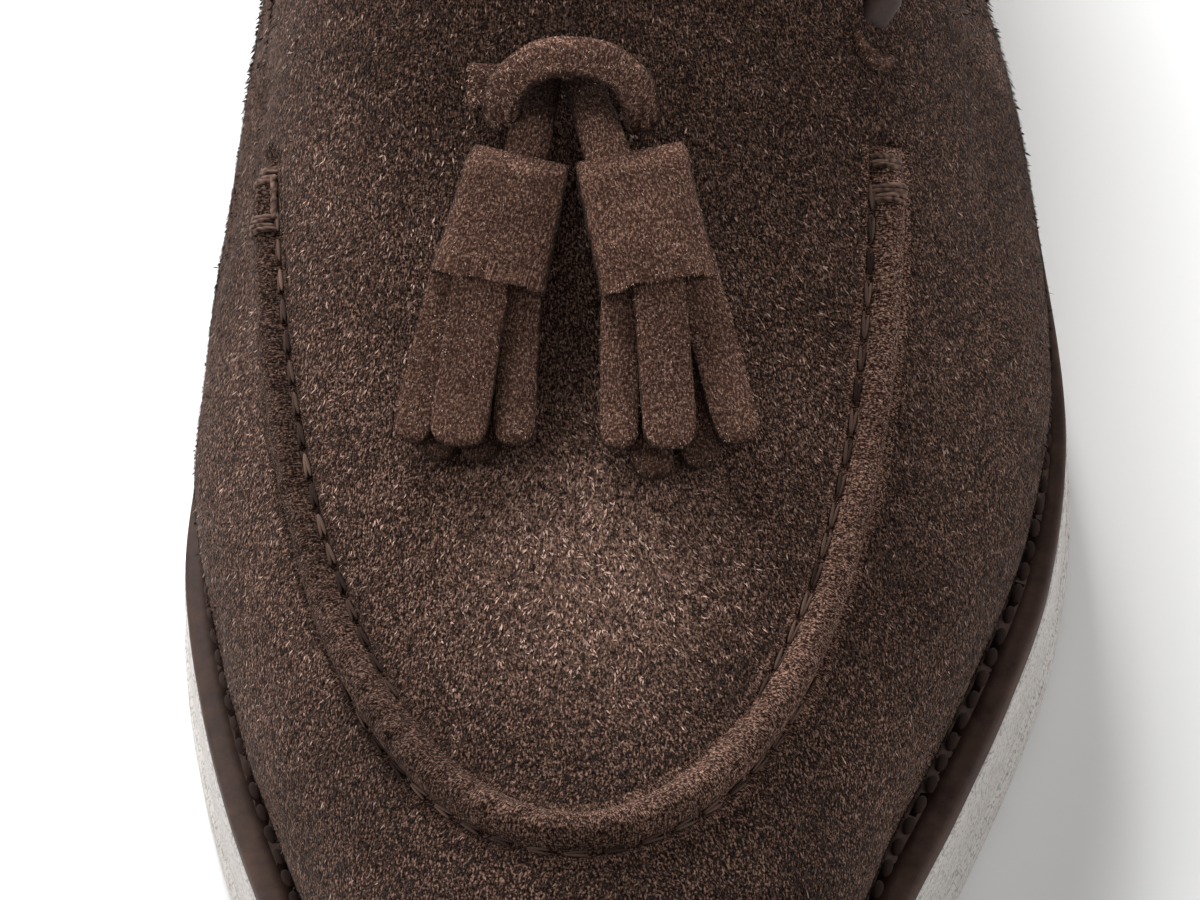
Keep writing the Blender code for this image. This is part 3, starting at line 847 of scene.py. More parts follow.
def press_skin(made, path, reach, depth):
    """Lowers a piece's points that lie close to a path on the vamp."""
    places_now = vertex_places(made)
    normals = np.array([vertex.normal for vertex in made.data.vertices])
    marks = path.points[::6]
    near = np.where(places_now[:, 1] < marks[:, 1].max() + reach)[0]
    for start in range(0, len(near), 2000):
        some = near[start : start + 2000]
        away = np.linalg.norm(places_now[some][:, None] - marks[None], axis=2).min(axis=1)
        amount = depth * (1 - smooth_step(0.55, 0.88, away / reach))
        places_now[some] -= normals[some] * amount[:, None]
    made.data.vertices.foreach_set("co", places_now.ravel())
    made.data.update()


press_skin(upper, seam, SEAM_REACH, PRESSED)
print("seam strip:", len(seam_strip.data.polygons), "faces")

# %% [markdown]
# The thread is thick, waxed and doubled. Each stitch is two grains of thread that lie side by
# side and cross a little, as a twisted cord does.

# %% Stitches along the seam


def grain_shape(sides=8, rings=6):
    """A grain of thread, one unit long and wide, smooth all round."""
    bm = bmesh.new()
    bmesh.ops.create_uvsphere(bm, u_segments=sides, v_segments=rings, radius=0.5)
    bmesh.ops.rotate(bm, verts=bm.verts, matrix=Matrix.Rotation(math.pi / 2, 3, "Y"))
    bmesh.ops.triangulate(bm, faces=bm.faces)
    for face in bm.faces:
        face.smooth = True
    return bm


def seam_stitches(name, centres, aside, height, length, width, tilt):
    """Doubled stitches along the seam at given lengths."""
    centres = np.repeat(centres, 2)
    strand = np.tile([-1.0, 1.0], len(centres) // 2)
    across = seam.at(seam.across, centres)
    ways = seam.at(seam.ways, centres)
    normals = seam.at(seam.normals, centres)
    points = seam.lay(centres, aside + strand * width * 0.42, height)
    turned = unit(ways + across * (strand * tilt)[:, None])
    beside = unit(np.cross(normals, turned))
    size = np.stack([np.full(len(centres), length), np.full(len(centres), width)], axis=-1)
    size = np.concatenate([size, np.full((len(centres), 1), width)], axis=1)
    shades = 0.30 + 0.8 * wander(points, 0.0012)
    transforms = placed(points, turned, beside, normals, size)
    return joined_copies(name, grain_shape(), transforms, shades)


DARK_THREAD, PALE_THREAD = (0.026, 0.0135, 0.0100), (0.22, 0.134, 0.102)
THREAD = make_fibre_material("seam_thread", DARK_THREAD, PALE_THREAD, sheen=0.03)
FIRST_STITCH, LAST_STITCH = 0.007, 0.004
stitch_places = np.arange(FIRST_STITCH, seam.length - LAST_STITCH, STITCH_PITCH)
inner_places = stitch_places[toe_part(stitch_places) < 0.75]
outer_places = stitch_places[toe_part(stitch_places) > 0.35]
# height over the vamp, length, width and tilt of the stitches on each side
INNER_STITCH = (0.00006, 0.0031, 0.00050, 0.10)
OUTER_STITCH = (-0.00010, 0.0028, 0.00042, 0.07)
stitches_in = seam_stitches("seam_stitches_in", inner_places, -GROOVE_ASIDE, *INNER_STITCH)
stitches_out = seam_stitches("seam_stitches_out", outer_places, GROOVE_ASIDE, *OUTER_STITCH)
for made in (stitches_in, stitches_out):
    made.data.materials.append(THREAD)
print("seam stitches:", len(inner_places) + len(outer_places))

# %% [markdown]
# Two bar tacks lock each end of the seam. In each, several threads are drawn side by side over
# the roll. At the medial end a short cord of the same thread joins the two tacks.

# %% Bar tacks at both ends
TACK_RINGS, TACK_LIFT, TACK_RADIUS = 18, 0.00030, 0.00037
TACKS_MEDIAL, TACKS_LATERAL = (0.0010, 0.0072), (0.0046, 0.0004)
LINK_RADIUS = 0.00055


def tube_points(spine, radius, normal, sides=8, wobble=0.0):
    """Rings of points round a line; radius may differ from point to point."""
    spine = np.asarray(spine, float)
    ways = unit(np.gradient(spine, axis=0))
    side = unit(np.cross(normal, ways))
    up = np.cross(ways, side)
    angle = np.linspace(0, 2 * math.pi, sides + 1)
    radius = np.broadcast_to(radius, len(spine))[:, None, None]
    if wobble:
        radius = radius * (1 + wobble * wander(spine, 0.0006)[:, None, None])
    ring = np.cos(angle)[None, :, None] * side[:, None] + np.sin(angle)[None, :, None] * up[:, None]
    return spine[:, None] + radius * ring


def join_pieces(name, pieces):
    """One object from several, without merging their points."""
    bm = bmesh.new()
    for made in pieces:
        bm.from_mesh(made.data)
    mesh = pieces[0].data
    bm.to_mesh(mesh)
    bm.free()
    for made in pieces[1:]:
        bpy.data.objects.remove(made)
    pieces[0].name = name
    return pieces[0]


def bar_tack(name, place, strands=4, reach_in=-0.0027, reach_out=0.0017, gap=0.00056):
    """Threads drawn over the roll side by side at one place along the seam."""
    tubes = []
    for strand in range(strands):
        along = place + (strand - (strands - 1) / 2) * gap
        u = np.linspace(0, 1, TACK_RINGS)
        aside = reach_in + (reach_out - reach_in) * u
        rise = TACK_LIFT * np.sin(math.pi * u) ** 0.4
        lift = seam_height(np.full(TACK_RINGS, along), aside) + rise
        skew = 0.0003 * (u - 0.5) * (1 if strand % 2 else -1)
        spine = seam.lay(along + skew, aside, lift)
        normal = seam.at(seam.normals, np.array([along]))
        radius = TACK_RADIUS * np.sin(math.pi * np.clip(u, 0.04, 0.96)) ** 0.25
        rings = tube_points(spine, radius, normal, wobble=0.25)
        tubes.append(grid_object(f"{name}_{strand}", rings, closed=True, ends=True))
    return join_pieces(name, tubes)


tacks = [bar_tack(f"tack_medial_{k}", place) for k, place in enumerate(TACKS_MEDIAL)]
tacks += [bar_tack(f"tack_lateral_{k}", seam.length - gap) for k, gap in enumerate(TACKS_LATERAL)]
link_spine = seam.lay(np.linspace(0.0012, 0.0068, 16), -0.0021, 0.00025)
link_normal = seam.at(seam.normals, np.array([0.004]))
link_tube = tube_points(link_spine, LINK_RADIUS, link_normal, wobble=0.6)
tacks.append(grid_object("tack_link", link_tube, closed=True, ends=True))
bar_tacks = join_pieces("bar_tacks", tacks)
give_shade(bar_tacks, 0.42 + 1.1 * wander(vertex_places(bar_tacks), 0.00045))
bar_tacks.data.materials.append(THREAD)
print("bar tacks:", len(bar_tacks.data.polygons), "faces")

# %% [markdown]
# The tassels hang from two flat thongs that come out under a small suede band. Each tassel is
# a strip of suede cut into a fringe and rolled up, with a second strip wrapped round its head.

# %% Sizes of the band and the tassels
KEEPER_X, KEEPER_Y = -0.0056, -0.0275
KEEPER_SPAN, KEEPER_FOOT, KEEPER_BOW = 0.0156, 0.0014, 0.0052
KEEPER_DEPTH, KEEPER_ARCH, KEEPER_THICKNESS = 0.0047, 0.0050, 0.0018
STRIP_THICKNESS = 0.0017
CAP_THICKNESS, CAP_LIFT = 0.0061, 0.0005
THONG_TOP_WIDTH, THONG_WIDTH = 0.0046, 0.0058
THONG_RISE, THONG_SET_BACK, THONG_END = 0.0016, 0.0016, 0.0040
FRINGE_LAYER, FRINGE_HIDDEN = 0.00190, 0.0040
FRINGE_FALLS = (0.0, 0.0006, 0.0016)
STRIP_SQUARE = 10.0
CAP_SIDES, CAP_SQUARE = 60, 2.9
CAP_WALL, CAP_WAVE, CAP_WAVE_FINE = 0.0011, 0.00085, 0.00035
CAP_TURNED_IN = 0.0035

TASSELS = {
    # name: thong top x, thong end x, cap top x, cap top y, cap end x, cap end y, cap widths
    "tassel_medial": (-0.0088, -0.0118, -0.0113, -0.0372, -0.0152, -0.0507, 0.0118, 0.0136),
    "tassel_lateral": (-0.0046, 0.0000, 0.0009, -0.0369, 0.0042, -0.0511, 0.0134, 0.0138),
}
FRINGE = {
    # name: rows of across at the cap, across at the tip, reach along, width, layer
    "tassel_medial": (
        (-0.24, -0.64, 0.0164, 0.0049, 1),
        (0.02, -0.25, 0.0178, 0.0067, 2),
        (0.29, 0.21, 0.0180, 0.0049, 1),
        (-0.16, -0.46, 0.0186, 0.0048, 0),
        (0.15, -0.10, 0.0192, 0.0048, 0),
    ),
    "tassel_lateral": (
        (-0.31, -0.33, 0.0182, 0.0046, 1),
        (-0.03, 0.09, 0.0182, 0.0062, 2),
        (0.25, 0.66, 0.0166, 0.0056, 1),
        (-0.15, -0.04, 0.0212, 0.0050, 0),
        (0.16, 0.36, 0.0196, 0.0048, 0),
    ),
}

# %% [markdown]
# A strip is a row of end views laid along a spine on the vamp. Its end view is a rectangle with
# round corners, and the suede's own softness comes from a small wander of the points.

# %% Strips laid on the vamp


def round_corners(width, thickness, count, square=4.0):
    """End view of a strip: pairs of across and out, closed, lying on its lower face."""
    angle = np.linspace(0, 2 * math.pi, count + 1) - math.pi / 2
    power = 2 / square
    across = np.sign(np.cos(angle)) * np.abs(np.cos(angle)) ** power * width / 2
    out = np.sign(np.sin(angle)) * np.abs(np.sin(angle)) ** power * thickness / 2
    return np.stack([across, out + thickness / 2], axis=-1)


def strip_rings(start, end, rows, section_at, soft=0.00012, seed=1.0):
    """Rings of points for a strip over the vamp between two plan places."""
    u = np.linspace(0, 1, rows)
    x = start[0] + (end[0] - start[0]) * u
    y = start[1] + (end[1] - start[1]) * u
    spine = vamp(x, y)
    normals = vamp_normal(x, y)
    ways = unit(np.gradient(spine, axis=0))
    across = unit(np.cross(ways, normals))
    sections = np.array([section_at(value) for value in u])
    rings = spine[:, None] + across[:, None] * sections[..., :1] + normals[:, None] * sections[..., 1:2]
    if sections.shape[2] > 2:
        rings = rings + ways[:, None] * sections[..., 2:3]
    lump = wander(rings, 0.0022, seed)[..., None]
    centre = rings.mean(axis=1, keepdims=True)
    moved = rings + unit(rings - centre) * lump * soft
    moved[:, -1] = moved[:, 0]
    length = np.linalg.norm(spine[-1] - spine[0])
    nap = np.stack(np.broadcast_arrays((u * length)[:, None], sections[..., 0]), axis=-1)
    return moved, nap


def blunt(u, start=0.86, least=0.10):
    """1 along a strip, then a round fall toward its cut end."""
    part = np.clip((u - start) / (1 - start), 0.0, 1.0)
    return least + (1 - least) * math.sqrt(1 - part * part)

# %% [markdown]
# Each strip of the fringe is a little cupped and has a blunt end. The strips lie in three
# layers, and the upper ones sink toward their tips.

# %% One strip of the fringe


def build_fringe_strip(name, start, end, width, low, fall, seed):
    """One strip of the fringe, a little cupped, with a blunt round end."""

    def section(u):
        """End view of the strip at a part of its length."""
        end_width = width * blunt(u, 0.88, 0.35)
        full = round_corners(end_width, STRIP_THICKNESS * blunt(u, 0.95, 0.5), 32, STRIP_SQUARE)
        cup = 0.00035 * (full[:, 0] / (width / 2)) ** 2
        lift = low - fall * u * u + STRIP_THICKNESS * (1 - blunt(u, 0.95, 0.5)) / 2
        return full + np.stack([full[:, 0] * 0, lift - cup], axis=-1)

    rings, nap = strip_rings(start, end, 44, section, 0.00016, seed)
    return grid_object(name, rings, nap, closed=True, ends=True)

# %% [markdown]
# The cap is a strip wrapped round the head of the fringe. Its lower edge is cut by hand, so
# it wavers, and it turns inward to show the suede's thickness.

# %% The wrapped cap


def build_cap(name, row, seed):
    """The wrapped head of a tassel: a flattened sleeve with a wavy cut edge, open below."""
    _, _, top_x, top_y, end_x, end_y, top_width, end_width = row
    length = math.dist((top_x, top_y), (end_x, end_y))
    angle = np.linspace(0, 2 * math.pi, CAP_SIDES + 1)
    edge = np.stack([np.cos(angle) * 1.9, np.sin(angle) * 1.9, angle * 0 + seed], axis=-1)
    wave = CAP_WAVE * wander(edge, 1.0) + CAP_WAVE_FINE * wander(edge * 3.1, 1.0)
    wave[-1] = wave[0]

    def section(v):
        """End view of the sleeve: down its outside, then back up inside it."""
        u = min(v / 0.80, 1.0)
        inside = max(0.0, (v - 0.84) / 0.16)
        turn_in = CAP_WALL * smooth_step(0.80, 0.86, v)
        shoulder = math.sin(min(u / 0.10, 1.0) * math.pi / 2)
        width = (top_width + (end_width - top_width) * u) * (0.93 + 0.07 * shoulder)
        thick = CAP_THICKNESS * (0.42 + 0.58 * math.sin(min(u / 0.16, 1.0) * math.pi / 2))
        ring = round_corners(width - 2 * turn_in, thick - 2 * turn_in, CAP_SIDES, CAP_SQUARE)
        ring[:, 1] += CAP_LIFT + turn_in + (CAP_THICKNESS - thick) * 0.42
        along = u * length + wave * smooth_step(0.5, 1.0, u) - inside * CAP_TURNED_IN
        plain = v * length
        return np.concatenate([ring, (along - plain)[:, None]], axis=1)

    rings, nap = strip_rings((top_x, top_y), (end_x, end_y), 84, section, 0.00020, seed)
    nap[..., 0] = np.minimum(nap[..., 0] / 0.80, length)
    return grid_object(name, rings, nap, closed=True, ends=True)

# %% [markdown]
# A thong, a cap and five strips are joined into one piece for each tassel.

# %% Both tassels


def build_tassel(name, seed):
    """Thong, wrapped cap and fringe of one tassel."""
    row = TASSELS[name]
    thong_x, thong_end_x, _, top_y, end_x, end_y, _, end_width = row

    def thong(u):
        """End view of the thong at a part of its length."""
        width = THONG_TOP_WIDTH + (THONG_WIDTH - THONG_TOP_WIDTH) * u
        section = round_corners(width, STRIP_THICKNESS, 26)
        arch = 0.0008 * (1 - (section[:, 0] / (width / 2)) ** 2)
        lift = CAP_LIFT + THONG_RISE * u * 0.8
        return section + np.stack([section[:, 0] * 0, lift + arch], axis=-1)

    start = (thong_x, KEEPER_Y - THONG_SET_BACK)
    thong_end = (thong_end_x, top_y - THONG_END)
    print(f"{name}: thong {math.dist(start, thong_end) * 1000:.1f} mm in plan")
    rings, nap = strip_rings(start, thong_end, 40, thong, 0.00015, seed)
    pieces = [grid_object(name + "_thong", rings, nap, closed=True, ends=True)]
    pieces.append(build_cap(name + "_cap", row, seed + 2))
    for k, (at_cap, at_tip, reach, width, layer) in enumerate(FRINGE[name]):
        start = (end_x + at_cap * end_width, end_y + FRINGE_HIDDEN)
        tip = (end_x + at_tip * end_width, end_y - reach)
        low = CAP_LIFT + layer * FRINGE_LAYER
        fall = FRINGE_FALLS[layer]
        pieces.append(build_fringe_strip(f"{name}_{k}", start, tip, width, low, fall, seed + 3 + k))
    return join_pieces("suede_" + name, pieces)


tassel_medial = build_tassel("tassel_medial", 2.3)
tassel_lateral = build_tassel("tassel_lateral", 9.1)

# %% [markdown]
# The band over the thongs is a folded strip. It stands up as a low arch, its toe-side edge is
# rolled and catches the light, and its two feet are sewn flat to the vamp.

# %% The arched band
TAB_START, TAB_END = (-0.0172, -0.0298), (-0.0128, -0.0302)
TAB_WIDTH, TAB_THICKNESS = 0.0052, 0.0020
BAND_SQUARE, TAB_SQUARE = 3.2, 5.0
BAND_BULGE, BAND_LIP = 0.0006, 0.0005


def build_keeper():
    """A closed strip that arches over the thongs, bowed back, with a flat foot at each end."""
    half = KEEPER_SPAN / 2
    arc = np.linspace(0, math.pi, 61)
    feet = np.linspace(0, 1, 12)[:-1]
    x = np.concatenate([-half - KEEPER_FOOT * (1 - feet), -half * np.cos(arc)])
    x = np.concatenate([x, half + KEEPER_FOOT * (1 - feet[::-1])])
    arch = np.concatenate([feet * 0, np.maximum(np.sin(arc), 0.0), feet * 0])
    lift = KEEPER_ARCH * arch**0.75
    plan_y = KEEPER_Y - KEEPER_BOW * (1 - arch)
    normals = vamp_normal(KEEPER_X + x, plan_y)
    spine = vamp(KEEPER_X + x, plan_y) + normals * lift[:, None]
    ways = unit(np.gradient(spine, axis=0))
    side = unit(np.cross(ways, normals))
    up = np.cross(side, ways)
    section = round_corners(KEEPER_DEPTH, KEEPER_THICKNESS, 40, BAND_SQUARE)
    part = section[:, 0] / (KEEPER_DEPTH / 2)
    bulge = BAND_BULGE * (1 - part**2) + BAND_LIP * np.exp(-(((part - 0.75) / 0.25) ** 2))
    section[:, 1] = section[:, 1] + bulge + GAP
    ends = np.clip(np.minimum(np.arange(len(x)), np.arange(len(x))[::-1]) / 5, 0, 1)
    full = 0.45 + 0.55 * np.sqrt(1 - (1 - ends) ** 2)
    thick = (0.35 + 0.65 * full)[:, None, None]
    deep = (0.86 + 0.14 * full)[:, None, None]
    rings = spine[:, None] + side[:, None] * (section[None, :, :1] * deep)
    rings = rings + up[:, None] * (section[None, :, 1:] * thick)
    lump = wander(rings, 0.0025, 5.5)[..., None]
    centre = rings.mean(axis=1, keepdims=True)
    rings = rings + unit(rings - centre) * lump * 0.00022
    rings[:, -1] = rings[:, 0]
    nap = np.stack(np.broadcast_arrays(section[None, :, 0], x[:, None]), axis=-1)
    band = grid_object("suede_band", rings, nap, closed=True, ends=True)

    def tab_section(u):
        """End view of the small tab, the same all along."""
        return round_corners(TAB_WIDTH, TAB_THICKNESS, 24, TAB_SQUARE) + np.array([0.0, GAP])

    rings, nap = strip_rings(TAB_START, TAB_END, 16, tab_section, 0.00012, 4.4)
    tab = grid_object("band_tab", rings, nap, closed=True, ends=True)
    print(f"band: {lengths_along(spine)[-1] * 1000:.1f} mm laid flat")
    return join_pieces("suede_band", [band, tab])

# %% [markdown]
# The cut sides of the strips, the lower layers and the thongs under the band lie in shade.
# This shade is painted: a tone for every point darkens the nap there.

# %% Painted shade on the tassels and the band
CUT_SIDE_PAINTED_SHADE = 0.30
LOW_PAINTED_SHADE, LOW_LIFT, TOP_LIFT = 0.42, 0.0016, 0.0046
BAND_SHADE, BAND_SHADE_START, BAND_SHADE_END = 0.34, -0.0335, -0.0375


def edge_painted_shade(normals):
    """Painted shade: 1 on faces that look out from the vamp, darker on the cut sides of a strip."""
    out = vamp_normal(0.0, -0.05)
    return CUT_SIDE_PAINTED_SHADE + (1 - CUT_SIDE_PAINTED_SHADE) * smooth_step(0.10, 0.80, normals @ out)


def vertex_normals(made):
    """Outward directions at all points of a piece."""
    values = np.empty(len(made.data.vertices) * 3)
    made.data.vertices.foreach_get("normal", values)
    return values.reshape(-1, 3)


def depth_painted_shade(points):
    """Painted shade of the tassels' suede: 1 on top, darker low down and where the band shades it."""
    lift = points[:, 2] - vamp(points[:, 0], points[:, 1])[:, 2]
    past_band = smooth_step(BAND_SHADE_START, BAND_SHADE_END, points[:, 1])
    under_band = BAND_SHADE + (1 - BAND_SHADE) * past_band
    return (LOW_PAINTED_SHADE + (1 - LOW_PAINTED_SHADE) * smooth_step(LOW_LIFT, TOP_LIFT, lift)) * under_band


keeper = build_keeper()
# Each piece's shade is its own tone times the painted shade of its sides and depth.
for made, tone in ((tassel_medial, 1.0), (tassel_lateral, 1.20), (keeper, 1.25)):
    depth = 1.0 if made is keeper else depth_painted_shade(vertex_places(made))
    give_shade(made, tone * depth * edge_painted_shade(vertex_normals(made)))
    made.data.materials.append(SUEDE_TRIM)

# %% [markdown]
# The collar lace is smooth leather, flat with soft edges. It lies on the suede below the
# collar, and each end dives into the vamp, the outer one through a small puckered hole.

# %% The collar lace
LACE_WIDTH, LACE_THICKNESS = 0.0046, 0.0018
# side and the share at which each end dives into the vamp
LACE_FRONTS = ((-1, 0.472), (1, 0.4335))
LACE_DIVE, DIVE_REACH, LACE_SQUARE = 0.0023, 0.0045, 2.8
PUCKER_RADIUS = 0.00110


def skin_at_height(share, side, height):
    """Points of the skin at a height above the welt."""
    share, height = np.broadcast_arrays(np.asarray(share, float), np.asarray(height, float))
    part = np.clip(height / np.maximum(crest_height(share), 1e-9), 0.0, 1.0)
    angle = np.arcsin(part ** (last_fullness(share) / 2))
    return skin(share, side, np.clip(angle / collar_angle(share), 0.0, 1.0))


def lace_side(side, front, count=150):
    """Points and outward directions of the lace on one side, from the front to the heel."""

    def below_crest(share):
        """Whether the lace still runs below the crest at a share."""
        return crest_height(share) > INSTEP_HEIGHT * lace_height(share)

    back_end = halfway(below_crest, LACE[0][0], 1.0)
    share = front + (back_end - front) * np.linspace(0, 1, count) ** 0.75
    height = INSTEP_HEIGHT * lace_height(share)
    points = skin_at_height(share, side, height)
    above = skin_at_height(share, side, np.minimum(height + 0.0006, crest_height(share) * 0.9999))
    ahead = skin_at_height(share - 0.002, side, height)
    out = unit(np.cross(above - points, ahead - points)) * side
    out[-1] = (0.0, 1.0, 0.0)
    return points, out


def build_lace():
    """The lace as rings along its route, diving into the vamp at both ends."""
    halves = [lace_side(side, front) for side, front in LACE_FRONTS]
    spine = np.concatenate([halves[0][0], halves[1][0][::-1][1:]])
    out = np.concatenate([halves[0][1], halves[1][1][::-1][1:]])
    count = len(spine)
    for _ in range(6):
        out[1:-1] = unit(out[:-2] + out[1:-1] + out[2:])
    ways = unit(np.gradient(spine, axis=0))
    side = unit(np.cross(ways, out))
    marks = lengths_along(spine)
    near = np.minimum(marks, marks[-1] - marks)
    dive = LACE_DIVE * (1 - smooth_step(0.0, DIVE_REACH, near))
    section = round_corners(LACE_WIDTH, LACE_THICKNESS, 28, LACE_SQUARE)
    grow = (0.80 + 0.20 * smooth_step(0.0, 0.004, near))[:, None, None]
    rings = spine[:, None] + side[:, None] * section[None, :, :1] * grow
    rings = rings + out[:, None] * (section[None, :, 1:] * grow + GAP - dive[:, None, None])
    nap = np.stack(np.broadcast_arrays(marks[:, None], section[None, :, 0]), axis=-1)
    print(f"collar lace: {marks[-1] * 1000:.0f} mm in {count} rings")
    return grid_object("leather_lace", rings, nap, closed=True, ends=True)


lace = build_lace()

# %% [markdown]
# Where the lace goes down on the outer side, the suede is pushed up into a small half ring.

# %% The pucker round the lace's hole


def build_pucker(count=26):
    """The raised half ring of suede round the hole where the lace dives in."""
    hole = lace_side(1, LACE_FRONTS[1][1])[0][0]
    angle = np.linspace(-0.95 * math.pi, -0.10 * math.pi, count)
    x = hole[0] + 0.0001 + 0.0021 * np.cos(angle)
    y = hole[1] - 0.0006 + 0.0024 * np.sin(angle)
    radius = PUCKER_RADIUS * np.sin(np.linspace(0.06, 0.94, count) * math.pi) ** 0.5
    rings = tube_points(vamp(x, y), radius, vamp_normal(x, y), 12, wobble=0.2)
    return grid_object("lace_pucker", rings, closed=True, ends=True)


pucker = build_pucker()
give_shade(pucker, np.full(len(pucker.data.vertices), 1.6))
pucker.data.materials.append(SUEDE_TRIM)

# %% [markdown]
# The welt is a strip of brown leather sewn down all round. Its top has a groove close to the
# upper in which the stitches lie, and its outer edge is cut square and burnished.

# %% The welt
WELT_GROOVE = 0.0012
GROOVE_HALF, GROOVE_DEPTH = 0.00062, 0.00055
WELT_TUCK = 0.0020
WELT_PITCH = 0.0032
WELT_STITCH = (0.0027, 0.00145, 0.00115)
WELT_STITCH_TILT, WELT_STITCH_SINK = 0.10, 0.00012


def plan_places(count):
    """Shares from toe to heel, closest together at both tips."""
    u = np.linspace(0, 1, count)
    return (1 - np.cos(math.pi * u)) / 2


def ring_points(shares, insets, height):
    """A closed ring round the sole at insets from its edge; height is a function of y."""
    sides = []
    for side in (-1, 1):
        x, y = outline_xy(shares, side, *insets)
        sides.append(np.stack([x, y, height(y)], axis=-1))
    return np.concatenate([sides[0], sides[1][::-1][1:]])


def feather_insets(extra):
    """Insets of a line that runs beside the foot of the upper."""
    return FEATHER_SIDE + extra, FEATHER_TOE + extra, FEATHER_HEEL + extra


def between_insets(part):
    """Insets of a line between the welt's edge (0) and the foot of the upper (1)."""
    edge = WELT_SET_BACK
    return tuple(edge + (foot - edge) * part for foot in feather_insets(0.0))


def build_welt():
    """The welt as rows round the shoe: underside, edge, top, groove and inner rim."""
    shares = plan_places(260)
    low, high = GAP, GAP + WELT_THICKNESS
    rows = [(feather_insets(WELT_TUCK), low), (between_insets(0.0), low)]
    rows += [(between_insets(0.0), low + 0.0012), (between_insets(0.0), high - 0.0006)]
    rows += [(between_insets(0.03), high - 0.00025), (between_insets(0.10), high - 0.00006)]
    rows += [(between_insets(0.22), high), (between_insets(0.40), high)]
    groove_steps = np.linspace(-1, 1, 13)
    for step in groove_steps:
        dip = GROOVE_DEPTH * (0.5 + 0.5 * math.cos(math.pi * step))
        rows.append((feather_insets(-WELT_GROOVE - GROOVE_HALF * step), high - dip))
    rows += [(feather_insets(-0.0001), high), (feather_insets(WELT_TUCK), high)]
    rings = []
    for insets, lift in rows + rows[:1]:
        rings.append(ring_points(shares, insets, lambda y, lift=lift: top_height(y) + lift))
    points = np.stack(rings, axis=1)
    lump = wander(points, 0.004, 7.7)[..., None] * 0.00006
    points[:, 2:-3] += lump[:, 2:-3] * np.array([0, 0, 1.0])
    points[-1] = points[0]
    marks = lengths_along(points[:, 1])
    nap = np.stack(np.broadcast_arrays(marks[:, None], np.arange(len(rows) + 1) * 0.0005), axis=-1)
    return grid_object("leather_welt", points, nap, closed=True)


welt = build_welt()
print("welt:", len(welt.data.polygons), "faces")

# %% [markdown]
# The welt's stitches are fat and waxed. They lie in the groove, each a little askew.

# %% Stitches of the welt


def build_welt_stitches():
    """Fat waxed stitches in the groove, one after another all round."""
    shares = plan_places(900)
    line = ring_points(shares, feather_insets(-WELT_GROOVE), top_height)
    line[:, 2] += GAP + WELT_THICKNESS - WELT_STITCH_SINK
    marks = lengths_along(line)
    count = int(marks[-1] / WELT_PITCH)
    places_round = (np.arange(count) + 0.5) * marks[-1] / count
    points = np.stack([np.interp(places_round, marks, line[:, k]) for k in range(3)], axis=-1)
    ahead = np.stack([np.interp(places_round + 0.0008, marks, line[:, k]) for k in range(3)], axis=-1)
    ways = unit(ahead - points)
    upward_way = np.array([0.0, 0.0, 1.0])
    beside = unit(np.cross(upward_way, ways))
    ways = unit(ways + beside * WELT_STITCH_TILT)
    beside = unit(np.cross(upward_way, ways))
    normals = np.cross(ways, beside)
    uneven = 1 + 0.10 * wander(points, 0.002)
    size = np.stack([part * uneven for part in WELT_STITCH], axis=-1)
    shades = 0.5 + 0.45 * wander(points, 0.0015)
    transforms = placed(points, ways, beside, normals, size)
    made = joined_copies("welt_stitches", grain_shape(12, 8), transforms, shades)
    print("welt stitches:", count)
    return made


welt_stitches = build_welt_stitches()

# %% [markdown]
# The outsole is one moulded rubber unit. Its side is matt, with a bevel at the floor, a plain
# band above it, a small step and a rounded upper edge. The tread has shallow ribs and lies flat
# at the heel and the forefoot.

# %% The rubber outsole
RUBBER_STEP, RUBBER_BEVEL = 0.0006, 0.0015
STEP_LOW, STEP_HIGH = 0.27, 0.31
RIB_PITCH, RIB_DEPTH = 0.006, 0.0008
MOULD_WANDER = 0.00010


